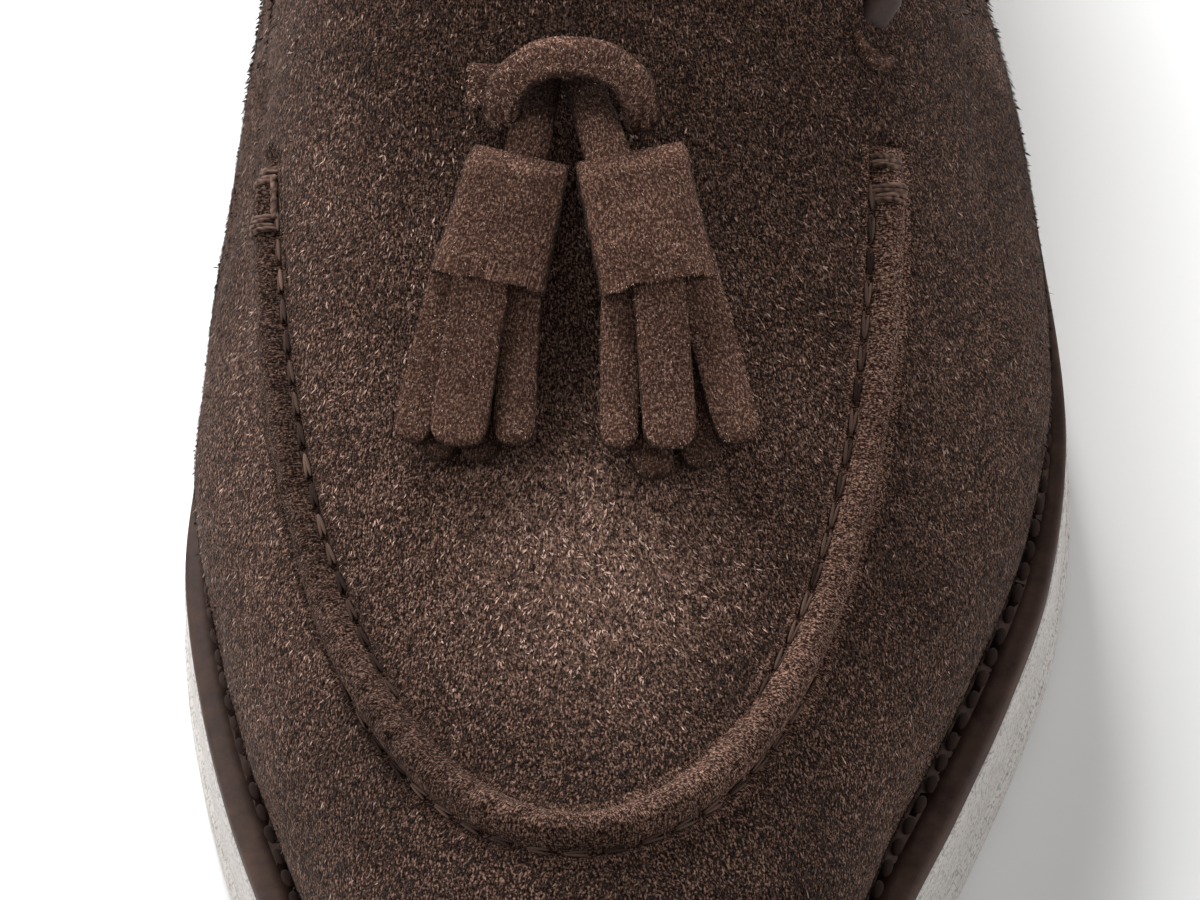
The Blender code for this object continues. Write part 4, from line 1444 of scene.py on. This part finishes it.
def build_outsole():
    """Rows across the sole from toe to heel, each a closed loop through side, top and tread."""
    shares = plan_places(240)
    levels = [(RUBBER_BEVEL, 0.0), (RUBBER_BEVEL * 0.55, 0.012), (RUBBER_BEVEL * 0.2, 0.045)]
    levels += [(0.0, 0.10), (0.0, 0.18), (0.00004, STEP_LOW - 0.015), (0.0002, STEP_LOW)]
    levels += [(RUBBER_STEP - 0.0001, STEP_HIGH), (RUBBER_STEP, STEP_HIGH + 0.02)]
    levels += [(RUBBER_STEP, part) for part in (0.42, 0.52, 0.62, 0.72, 0.82, 0.90)]
    levels += [(RUBBER_STEP * 1.08, 0.95), (RUBBER_STEP * 1.35, 0.98), (RUBBER_STEP * 2, 1.0)]
    loops = []
    for inset, part in levels:
        ring = ring_points(
            shares,
            (inset, inset, inset),
            lambda y, part=part: under_height(y) + part * (top_height(y) - under_height(y)),
        )
        loops.append(ring)
    side_points = np.stack(loops, axis=1)
    count = len(shares)
    medial = side_points[:count]
    lateral = side_points[count - 1 :][::-1]
    share_across = np.linspace(0, 1, 22)[1:-1]

    def bridge(a, b):
        """Rows of points straight across from one line to the other."""
        return a[:, None] + (b - a)[:, None] * share_across[None, :, None]

    tread = bridge(lateral[:, 0], medial[:, 0])
    deck = bridge(medial[:, -1], lateral[:, -1])
    rib = 0.5 - 0.5 * np.cos(2 * math.pi * tread[..., 1] / RIB_PITCH)
    flat = smooth_step(0.0, 0.15, share_across) * smooth_step(0.0, 0.15, 1 - share_across)
    tread[..., 2] += RIB_DEPTH * smooth_step(0.55, 0.9, rib) * flat[None, :]
    loop = np.concatenate([medial, deck, lateral[:, ::-1], tread, medial[:, :1]], axis=1)
    lump = wander(loop, 0.006, 2.2)[..., None]
    middle = np.array([-CENTRE_X, 0.0, 0.012])
    way = unit((loop - middle) * np.array([1.0, 0.4, 0.0]))
    loop = loop - way * np.maximum(lump, 0) * MOULD_WANDER
    loop[:, -1] = loop[:, 0]
    nap = np.stack([loop[..., 1], loop[..., 2]], axis=-1)
    return grid_object("rubber_outsole", loop, nap, closed=True)


outsole = build_outsole()
print("rubber outsole:", len(outsole.data.polygons), "faces")

# %% [markdown]
# Inside, a thin leather sock covers the insole board. Only its back half would ever be seen
# through the collar.

# %% The leather sock on the insole
SOCK_RISE, SOCK_HUMP = 0.0007, 0.0003


def build_sock():
    """A thin closed sheet over the insole board, a little domed across."""
    shares = plan_places(120)
    edge = feather_insets(UPPER_WALL + 2 * GAP)
    low = ring_points(shares, edge, lambda y: top_height(y) + GAP)
    high = ring_points(shares, edge, lambda y: seat_height(y) + SOCK_RISE)
    count = len(shares)

    part = np.linspace(0, 1, 24)

    def across(ring):
        """Rows of points from the medial to the lateral half of a ring."""
        medial, lateral = ring[:count], ring[count - 1 :][::-1]
        return medial[:, None] + (lateral - medial)[:, None] * part[None, :, None]

    top = across(high)
    hump = np.sin(math.pi * part) ** 0.3
    top[..., 2] += SOCK_HUMP * hump[None, :]
    bottom = across(low)[:, ::-1]
    loop = np.concatenate([top, bottom, top[:, :1]], axis=1)
    nap = np.stack([loop[..., 1], loop[..., 0]], axis=-1)
    return grid_object("leather_sock", loop, nap, closed=True)


sock = build_sock()
print("leather sock:", len(sock.data.polygons), "faces")

# %% [markdown]
# The suede is folded over the lining at the collar, so the cut edges never show. A round edge
# of the same suede runs all round the opening over the wall of the upper.

# %% The folded collar edge
EDGE_RADIUS = 0.00112


def build_collar_edge():
    """A closed round edge over the top of the wall, from the throat round the heel."""
    shares = THROAT + (BACK - THROAT) * plan_places(170)
    line = np.concatenate([skin(shares, -1, 1.0), skin(shares, 1, 1.0)[::-1][1:]])
    below = np.concatenate([skin(shares, -1, 0.97), skin(shares, 1, 0.97)[::-1][1:]])
    out = unit(np.cross(np.gradient(line, axis=0), below - line))
    middle = np.array([-CENTRE_X, 0.05, 0.04])
    outward = np.sum(out * (line - middle), axis=1, keepdims=True)
    out = out * np.sign(outward)
    for _ in range(8):
        ends = unit(out[1] + out[-2])
        out[1:-1] = unit(out[:-2] + out[1:-1] + out[2:])
        out[0] = out[-1] = ends
    rings = tube_points(line - out * UPPER_WALL / 2, EDGE_RADIUS, out, 16)
    rings[-1] = rings[0]
    marks = lengths_along(line)
    nap = np.stack(np.broadcast_arrays(marks[:, None], np.arange(17) * 0.0004), axis=-1)
    print(f"collar edge: {marks[-1] * 1000:.0f} mm round")
    return grid_object("collar_edge", rings, nap, closed=True)


collar_edge = build_collar_edge()
give_shade(collar_edge, np.full(len(collar_edge.data.vertices), 0.85))
collar_edge.data.materials.append(SUEDE_TRIM)

# %% [markdown]
# Smooth leather has a faint grain, and the lace a slight wax gloss. Its tones and its roughness
# vary with noise in the object's own space.

# %% Smooth leather


def make_leather(name, dark, pale, roughness, coat=0.0, grain=900.0, bump=0.00006):
    """Smooth leather with a fine grain; grain is in cells a metre."""
    values = {"Coat Weight": coat, "Coat Roughness": 0.35, "Specular IOR Level": 0.25}
    material, tree, shader = new_material(name, roughness, values)
    link = tree.links.new
    place = tree.nodes.new("ShaderNodeTexCoord").outputs["Object"]
    cells = add_node(tree, "ShaderNodeTexVoronoi", {"Scale": grain})
    link(place, cells.inputs["Vector"])
    cloud = add_node(tree, "ShaderNodeTexNoise", {"Scale": 220.0, "Detail": 6.0, "Roughness": 0.7})
    link(place, cloud.inputs["Vector"])
    ramp = add_ramp(tree, ((0.32, dark), (0.68, pale)))
    link(cloud.outputs["Fac"], ramp.inputs["Fac"])
    link(ramp.outputs["Color"], shader.inputs["Base Color"])
    rough = add_ramp(tree, ((0.3, (roughness - 0.08,) * 3), (0.7, (roughness + 0.10,) * 3)))
    link(cloud.outputs["Fac"], rough.inputs["Fac"])
    link(rough.outputs["Color"], shader.inputs["Roughness"])
    height = add_node(tree, "ShaderNodeBump", {"Strength": 0.5, "Distance": bump})
    link(cells.outputs["Distance"], height.inputs["Height"])
    link(height.outputs["Normal"], shader.inputs["Normal"])
    return material

# %% [markdown]
# Rubber is matt and speckled, with small pits. Its side shows fine lines along its length, so
# one pattern is stretched with the piece's own lengths.

# %% The rubber


def make_rubber():
    """Off-white rubber with a fine grey speckle and small pits."""
    material, tree, shader = new_material("rubber_matt", 0.75, {"Specular IOR Level": 0.3})
    link = tree.links.new
    place = tree.nodes.new("ShaderNodeTexCoord").outputs["Object"]
    speckle = add_node(tree, "ShaderNodeTexNoise", {"Scale": 2200.0, "Detail": 2.0})
    link(place, speckle.inputs["Vector"])
    ramp = add_ramp(tree, ((0.34, (0.38, 0.355, 0.335)), (0.50, (0.64, 0.61, 0.585))))
    link(speckle.outputs["Fac"], ramp.inputs["Fac"])
    cloud = add_node(tree, "ShaderNodeTexNoise", {"Scale": 40.0, "Detail": 4.0})
    link(place, cloud.inputs["Vector"])
    dust = add_ramp(tree, ((0.35, (0.90, 0.89, 0.88)), (0.65, (1.0, 1.0, 1.0))))
    link(cloud.outputs["Fac"], dust.inputs["Fac"])
    colour = mix_colour(tree, 1.0, ramp.outputs["Color"], dust.outputs["Color"], "MULTIPLY")
    comb = add_node(tree, "ShaderNodeAttribute", attribute_name="nap")
    stretch = add_node(tree, "ShaderNodeVectorMath", operation="MULTIPLY")
    stretch.inputs[1].default_value = (260.0, 5200.0, 1.0)
    link(comb.outputs["Vector"], stretch.inputs[0])
    streak = add_node(tree, "ShaderNodeTexNoise", {"Scale": 1.0, "Detail": 3.0, "Roughness": 0.7})
    link(stretch.outputs[0], streak.inputs["Vector"])
    lines = add_ramp(tree, ((0.36, (0.62, 0.60, 0.58)), (0.50, (1.0, 1.0, 1.0))))
    link(streak.outputs["Fac"], lines.inputs["Fac"])
    colour = mix_colour(tree, 1.0, colour, lines.outputs["Color"], "MULTIPLY")
    link(colour, shader.inputs["Base Color"])
    height = add_node(tree, "ShaderNodeBump", {"Strength": 0.6, "Distance": 0.00012})
    link(speckle.outputs["Fac"], height.inputs["Height"])
    link(height.outputs["Normal"], shader.inputs["Normal"])
    return material

# %% [markdown]
# Each leather piece has its own pair of tones. The lining goes on the wall's inner side.

# %% Give the pieces their leather and rubber
LEATHER_TONES = {
    # name: dark, pale
    "welt": ((0.026, 0.0125, 0.0090), (0.082, 0.0450, 0.0335)),
    "lace": ((0.028, 0.0140, 0.0105), (0.066, 0.0375, 0.0290)),
    "sock": ((0.185, 0.108, 0.068), (0.225, 0.136, 0.088)),
    "lining": ((0.145, 0.084, 0.054), (0.180, 0.108, 0.070)),
    "welt_thread": ((0.010, 0.0052, 0.0040), (0.050, 0.0270, 0.0200)),
}
WELT_LEATHER = make_leather("welt_leather", *LEATHER_TONES["welt"], 0.70)
LACE_LEATHER = make_leather("lace_leather", *LEATHER_TONES["lace"], 0.55, coat=0.06)
SOCK_LEATHER = make_leather("sock_leather", *LEATHER_TONES["sock"], 0.55)
LINING_LEATHER = make_leather("lining_leather", *LEATHER_TONES["lining"], 0.60)
WELT_THREAD = make_fibre_material("welt_thread", *LEATHER_TONES["welt_thread"])
welt.data.materials.append(WELT_LEATHER)
lace.data.materials.append(LACE_LEATHER)
sock.data.materials.append(SOCK_LEATHER)
upper.data.materials.append(LINING_LEATHER)
outsole.data.materials.append(make_rubber())
welt_stitches.data.materials.append(WELT_THREAD)
print("materials so far:", len(bpy.data.materials))

# %% [markdown]
# Texture alone leaves the outline too clean. Real suede has a soft edge of fibres, so short
# leaf-shaped fibres are scattered over the skin. They lie along the nap, which fans outward
# toward the toe, and a few stand up. Brushed leather in front of the tassels has paler tips.
# Clumps, soft clouds and the place on the shoe set how pale each fibre is; the place adds wear and
# painted light and shade.

# %% Scattered fibres
FIBRE_LENGTH, FIBRE_WIDTH = 0.00080, 0.000190
FIBRE_ROOT = 0.00004
LEAST_LIFT, USUAL_LIFT, LIFT_SPREAD = 5.0, 10.0, 9.0
WILD_PART, WILD_LIFT = 0.006, (30, 70)
CLUMP_SIZE, CLOUD_SIZE, SWIRL_SIZE = 0.0008, 0.011, 0.006
random = np.random.default_rng(41)


def leaf_shape():
    """A flat leaf one unit long and wide, its root at the origin."""
    bm = bmesh.new()
    bmesh.ops.create_grid(bm, x_segments=1, y_segments=1, size=0.5)
    bmesh.ops.rotate(bm, verts=bm.verts, matrix=Matrix.Rotation(math.pi / 4, 3, "Z"))
    bmesh.ops.scale(bm, verts=bm.verts, vec=(math.sqrt(0.5), math.sqrt(0.5), 1.0))
    bmesh.ops.translate(bm, verts=bm.verts, vec=(0.5, 0.0, 0.0))
    for face in bm.faces:
        face.smooth = True
    return bm


def scatter(made, count, weight):
    """Random places on a mesh, as many to each face as its area times its weight asks."""
    plain = [face.vertices[:] for face in made.data.polygons if len(face.vertices) < 5]
    faces = np.array([(*corners, corners[-1])[:4] for corners in plain])
    quads = vertex_places(made)[faces]
    normals = np.cross(quads[:, 2] - quads[:, 0], quads[:, 3] - quads[:, 1])
    areas = np.linalg.norm(normals, axis=1) / 2
    chance = areas * weight(quads.mean(axis=1))
    chosen = random.choice(len(faces), size=count, p=chance / chance.sum())
    u, v = random.random((2, count, 1))
    q = quads[chosen]
    low = q[:, 0] * (1 - u) + q[:, 1] * u
    high = q[:, 3] * (1 - u) + q[:, 2] * u
    return low * (1 - v) + high * v, unit(normals[chosen])


def nap_way(points, normals, fan=0.75, stray=0.45):
    """Directions of the nap on the surface: toward the toe, fanning out, each a little off."""
    ways = np.zeros_like(points)
    ways[:, 0] = fan * np.tanh((points[:, 0] + CENTRE_X + 0.002) / 0.022)
    ways[:, 1] = -1.0
    swirl = wander(points, SWIRL_SIZE, 3.0) * 0.9
    turn = random.normal(0.0, stray, len(points)) + swirl
    ways = unit(ways - normals * np.sum(ways * normals, axis=1, keepdims=True))
    beside = np.cross(normals, ways)
    return ways * np.cos(turn)[:, None] + beside * np.sin(turn)[:, None]


def brushed_and_lit_part(points):
    """1 in the middle of the brushed patch on the vamp, falling to 0 at its rim; worn suede, and
    painted light under the tassels.
    """
    away = (points - np.array(BRUSHED_AND_LIT_PLACE)) / np.array(BRUSHED_AND_LIT_REACH)
    return 1 - smooth_step(0.15, 1.0, np.linalg.norm(away, axis=1))

# %% [markdown]
# A fibre is one leaf, laid along the nap and lifted a little. Its shade is a sum: clumps and
# clouds, a few bright tips, the tone of its piece, a darker instep, and painted shade on toe and outer
# side.

# %% Fibres on one piece
BASE_SHADE, CLUMP_PART, CLOUD_PART = 0.060, 0.46, 0.14
TIP_PART, TIP_POWER = 0.76, 2.8
TOE_PAINTED_SHADE, TOE_FALL = 0.27, (-0.088, -0.112)
INSTEP_DARKER, INSTEP_FALL = 0.05, (-0.045, -0.025)
SIDE_PAINTED_LIGHT = 0.05
BRUSHED_TIPS, BRUSHED_POWER = 1.10, 2.4
BRUSHED_CLUMPS, BRUSHED_FALL = 0.75, 0.14


def add_fibres(name, made, count, weight, size, fan, stray, tone):
    """Fibres on one piece; tone makes them paler, by a number or by a function of the place that
    carries painted light and shade.
    """
    points, normals = scatter(made, count, weight)
    ways = nap_way(points, normals, fan, stray)
    lift = np.radians(np.abs(random.normal(USUAL_LIFT, LIFT_SPREAD, count)) + LEAST_LIFT)
    length = FIBRE_LENGTH * size * random.uniform(0.6, 1.35, count)
    wild = random.random(count) < WILD_PART
    lift = np.where(wild, np.radians(random.uniform(*WILD_LIFT, count)), lift)
    length = np.where(wild, length * 1.2, length)
    width = FIBRE_WIDTH * size * random.uniform(0.6, 1.2, count)
    along = ways * np.cos(lift)[:, None] + normals * np.sin(lift)[:, None]
    beside = unit(np.cross(normals, along))
    facing = np.cross(along, beside)
    clump = 1.1 * wander(points, CLUMP_SIZE, 8.0)
    cloud = 0.9 * wander(points, CLOUD_SIZE, 1.0)
    paler = tone(points, normals) if callable(tone) else tone
    tips = TIP_PART * random.random(count) ** TIP_POWER
    shade = BASE_SHADE + CLUMP_PART * clump + CLOUD_PART * cloud + tips + paler
    # Painted shade: the toe and the outer side are darkened, the medial side lightened; the instep is
    # made a little darker.
    shade = shade - TOE_PAINTED_SHADE * smooth_step(*TOE_FALL, points[:, 1])
    shade = shade - INSTEP_DARKER * smooth_step(*INSTEP_FALL, points[:, 1])
    shade = shade - SIDE_PAINTED_LIGHT * np.tanh((points[:, 0] + 0.004) / 0.03)
    worn = BRUSHED_TIPS * random.random(count) ** BRUSHED_POWER + BRUSHED_CLUMPS * clump
    shade = shade + brushed_and_lit_part(points) * (worn - BRUSHED_FALL)
    size_rows = np.stack([length, width, width], axis=-1)
    roots = points - normals * FIBRE_ROOT
    transforms = placed(roots, along, beside, facing, size_rows)
    fibres = joined_copies(name, leaf_shape(), transforms, np.clip(shade, 0.0, 1.0))
    fibres.data.materials.append(FIBRE)
    return fibres

# %% [markdown]
# The front of the upper is seen from close by and gets the most and finest fibres. Behind
# the throat fewer and larger ones are enough.

# %% Lay the fibres on each piece


def front_weight(centres):
    """1 on the front of the upper, 0 behind the throat."""
    return 1 - smooth_step(-0.012, 0.004, centres[:, 1])


def rear_weight(centres):
    """1 behind the throat, 0 on the front of the upper."""
    return smooth_step(-0.012, 0.004, centres[:, 1])


def even_weight(centres):
    """The same weight all over a piece."""
    return np.ones(len(centres))


def seam_fibre_painted_light(points, normals):
    """Fibre tone on the seam's roll: painted light and shade, darker medial, lighter lateral."""
    return 0.30 * (seam_painted_light(points) - 1.0)


def band_paler(points, normals):
    """Fibre tone on the band, with painted shade on its cut sides."""
    return 0.40 + 0.60 * (edge_painted_shade(normals) - 1.0)


def medial_paler(points, normals):
    """Fibre tone on the medial tassel, with painted shade on cut sides, low down and under the band."""
    return 0.21 + 0.60 * (edge_painted_shade(normals) * depth_painted_shade(points) - 1.0)


def lateral_paler(points, normals):
    """Fibre tone on the lateral tassel, with painted shade on cut sides, low down and under the band.
    """
    return 0.43 + 0.60 * (edge_painted_shade(normals) * depth_painted_shade(points) - 1.0)


FIBRE_PIECES = (
    # name, piece, count, weight, size, fan, stray, tone, slot
    ("nap_front_a", upper, 75000, front_weight, 1.0, 0.75, 0.40, 0.0, "upper"),
    ("nap_front_b", upper, 60000, front_weight, 0.8, 0.75, 0.60, 0.0, "upper"),
    ("nap_rear", upper, 45000, rear_weight, 1.6, 0.35, 0.45, 0.0, "upper"),
    ("nap_seam", seam_strip, 14000, even_weight, 0.55, 0.9, 0.8, seam_fibre_painted_light, "apron_seam"),
    ("nap_tassel_medial", tassel_medial, 12000, even_weight, 0.5, 0.0, 0.9, medial_paler, "tassels"),
    ("nap_tassel_lateral", tassel_lateral, 12000, even_weight, 0.5, 0.0, 0.9, lateral_paler, "tassels"),
    ("nap_pucker", pucker, 900, even_weight, 0.6, 0.2, 0.9, 0.30, "upper"),
    ("nap_band", keeper, 4500, even_weight, 0.6, 0.2, 0.9, band_paler, "tassels"),
)
fibre_pieces = []
for name, piece, count, weight, size, fan, stray, tone, slot_name in FIBRE_PIECES:
    made = add_fibres(name, piece, count, weight, size, fan, stray, tone)
    fibre_pieces.append((made, None, slot_name))
print("fibres:", sum(len(row[0].data.polygons) for row in fibre_pieces))

# %% [markdown]
# The shoe stands on a plain pale floor. It is only a plane, and a weak noise keeps its colour
# from being quite flat.

# %% The floor
FLOOR_SIZE = 6.0
FLOOR_TONES = ((0.3, (0.93, 0.93, 0.93)), (0.7, (0.96, 0.96, 0.96)))
bpy.ops.mesh.primitive_plane_add(size=FLOOR_SIZE, location=(0, 0, 0))
floor = bpy.context.active_object
floor.name = "floor"
floor_material, floor_tree, floor_shader = new_material("pale_floor", 0.9)
floor_grain = add_node(floor_tree, "ShaderNodeTexNoise", {"Scale": 3.0, "Detail": 2.0})
floor_ramp = add_ramp(floor_tree, FLOOR_TONES)
floor_tree.links.new(floor_grain.outputs["Fac"], floor_ramp.inputs["Fac"])
floor_tree.links.new(floor_ramp.outputs["Color"], floor_shader.inputs["Base Color"])
floor.data.materials.append(floor_material)
print("floor:", FLOOR_SIZE, "m wide")

# %% [markdown]
# A soft light hangs above and behind the shoe, as the window does in a product photograph, so
# the toe and the near sides fall into soft shade. Two weaker lights keep the sides readable,
# and a grey-white world fills the shadows.

# %% The lights
SHOE_MIDDLE = (0.0, -0.05, 0.04)
LIGHTS = (
    # name, place, width, power
    ("key_light", (-0.27, 0.93, 0.80), 0.36, 21.0),
    ("side_light", (-1.10, 0.05, 0.60), 0.5, 7.5),
    ("right_light", (1.15, 0.10, 0.60), 0.5, 4.5),
)
WORLD_TONE, WORLD_STRENGTH = (1.0, 0.99, 0.98, 1.0), 0.31


def add_area_light(name, place, size, power):
    """A soft square light at a place, turned toward the shoe's middle."""
    data = bpy.data.lights.new(name, "AREA")
    data.size = size
    data.energy = power
    lamp = bpy.data.objects.new(name, data)
    lamp.location = place
    lamp.rotation_euler = (Vector(place) - Vector(SHOE_MIDDLE)).to_track_quat("Z", "Y").to_euler()
    bpy.context.scene.collection.objects.link(lamp)


for row in LIGHTS:
    add_area_light(*row)
world = bpy.data.worlds.new("studio")
world.use_nodes = True
world.node_tree.nodes["Background"].inputs["Color"].default_value = WORLD_TONE
world.node_tree.nodes["Background"].inputs["Strength"].default_value = WORLD_STRENGTH
bpy.context.scene.world = world
bpy.context.scene.view_settings.view_transform = "Standard"
print("lights:", len(bpy.data.lights))

# %% [markdown]
# The camera keeps the photo's angle: in front of the toe and high above it, a little turned and
# rolled. Its lens is worked out from how much of the shoe the picture is wide.

# %% The camera
CAMERA_TURN, CAMERA_RISE, CAMERA_ROLL = math.radians(1.5), math.radians(57.0), math.radians(-1.8)
CAMERA_AIM = Vector((-0.0027, -0.061, 0.050))
CAMERA_REACH = 1.1
VIEW_WIDTH = 0.1415
SENSOR = 36.0
back = Vector(
    (
        math.sin(CAMERA_TURN) * math.cos(CAMERA_RISE),
        -math.cos(CAMERA_TURN) * math.cos(CAMERA_RISE),
        math.sin(CAMERA_RISE),
    )
)
level = Vector((math.cos(CAMERA_TURN), math.sin(CAMERA_TURN), 0.0))
upward = back.cross(level)
right = level * math.cos(CAMERA_ROLL) + upward * math.sin(CAMERA_ROLL)
up = upward * math.cos(CAMERA_ROLL) - level * math.sin(CAMERA_ROLL)
camera_data = bpy.data.cameras.new("camera")
camera_data.sensor_width = SENSOR
camera_data.lens = SENSOR * CAMERA_REACH / VIEW_WIDTH
camera = bpy.data.objects.new("camera", camera_data)
turned = Matrix((right, up, back)).transposed().to_4x4()
camera.matrix_world = Matrix.Translation(CAMERA_AIM + back * CAMERA_REACH) @ turned
bpy.context.scene.collection.objects.link(camera)
bpy.context.scene.camera = camera
print(f"lens: {camera_data.lens:.0f} mm")

# %% [markdown]
# Each main piece takes the place of the plain solid it dresses, and the others ride with it.

# %% Hand the pieces over
PIECES = (
    # piece, the node it replaces or None, slot
    (upper, "upper", "upper"),
    (seam_strip, "apron_seam", "apron_seam"),
    (stitches_in, None, "apron_seam"),
    (stitches_out, None, "apron_seam"),
    (bar_tacks, None, "apron_seam"),
    (tassel_medial, "tassel_medial", "tassels"),
    (tassel_lateral, "tassel_lateral", "tassels"),
    (keeper, "tassel_keeper", "tassels"),
    (lace, "collar_lace", "lace"),
    (collar_edge, None, "upper"),
    (pucker, None, "upper"),
    (welt, "welt", "welt"),
    (welt_stitches, None, "welt"),
    (outsole, "outsole", "outsole"),
    (sock, "insole", "insole"),
)
for made, node, slot_name in (*PIECES, *fibre_pieces):
    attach(made, "root")
    if node:
        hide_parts(node)

# %% [markdown]
# Modifiers add faces when the scene is worked out, so the triangles are counted there.

# %% Count the triangles
finished_scene = bpy.context.evaluated_depsgraph_get()
triangle_counts = {}
for made, node, slot_name in (*PIECES, *fibre_pieces):
    finished = made.evaluated_get(finished_scene).data
    finished.calc_loop_triangles()
    triangle_counts[made.name] = len(finished.loop_triangles)
largest = max(triangle_counts, key=triangle_counts.get)
print("triangles in all:", sum(triangle_counts.values()))
print("largest piece:", largest, triangle_counts[largest])
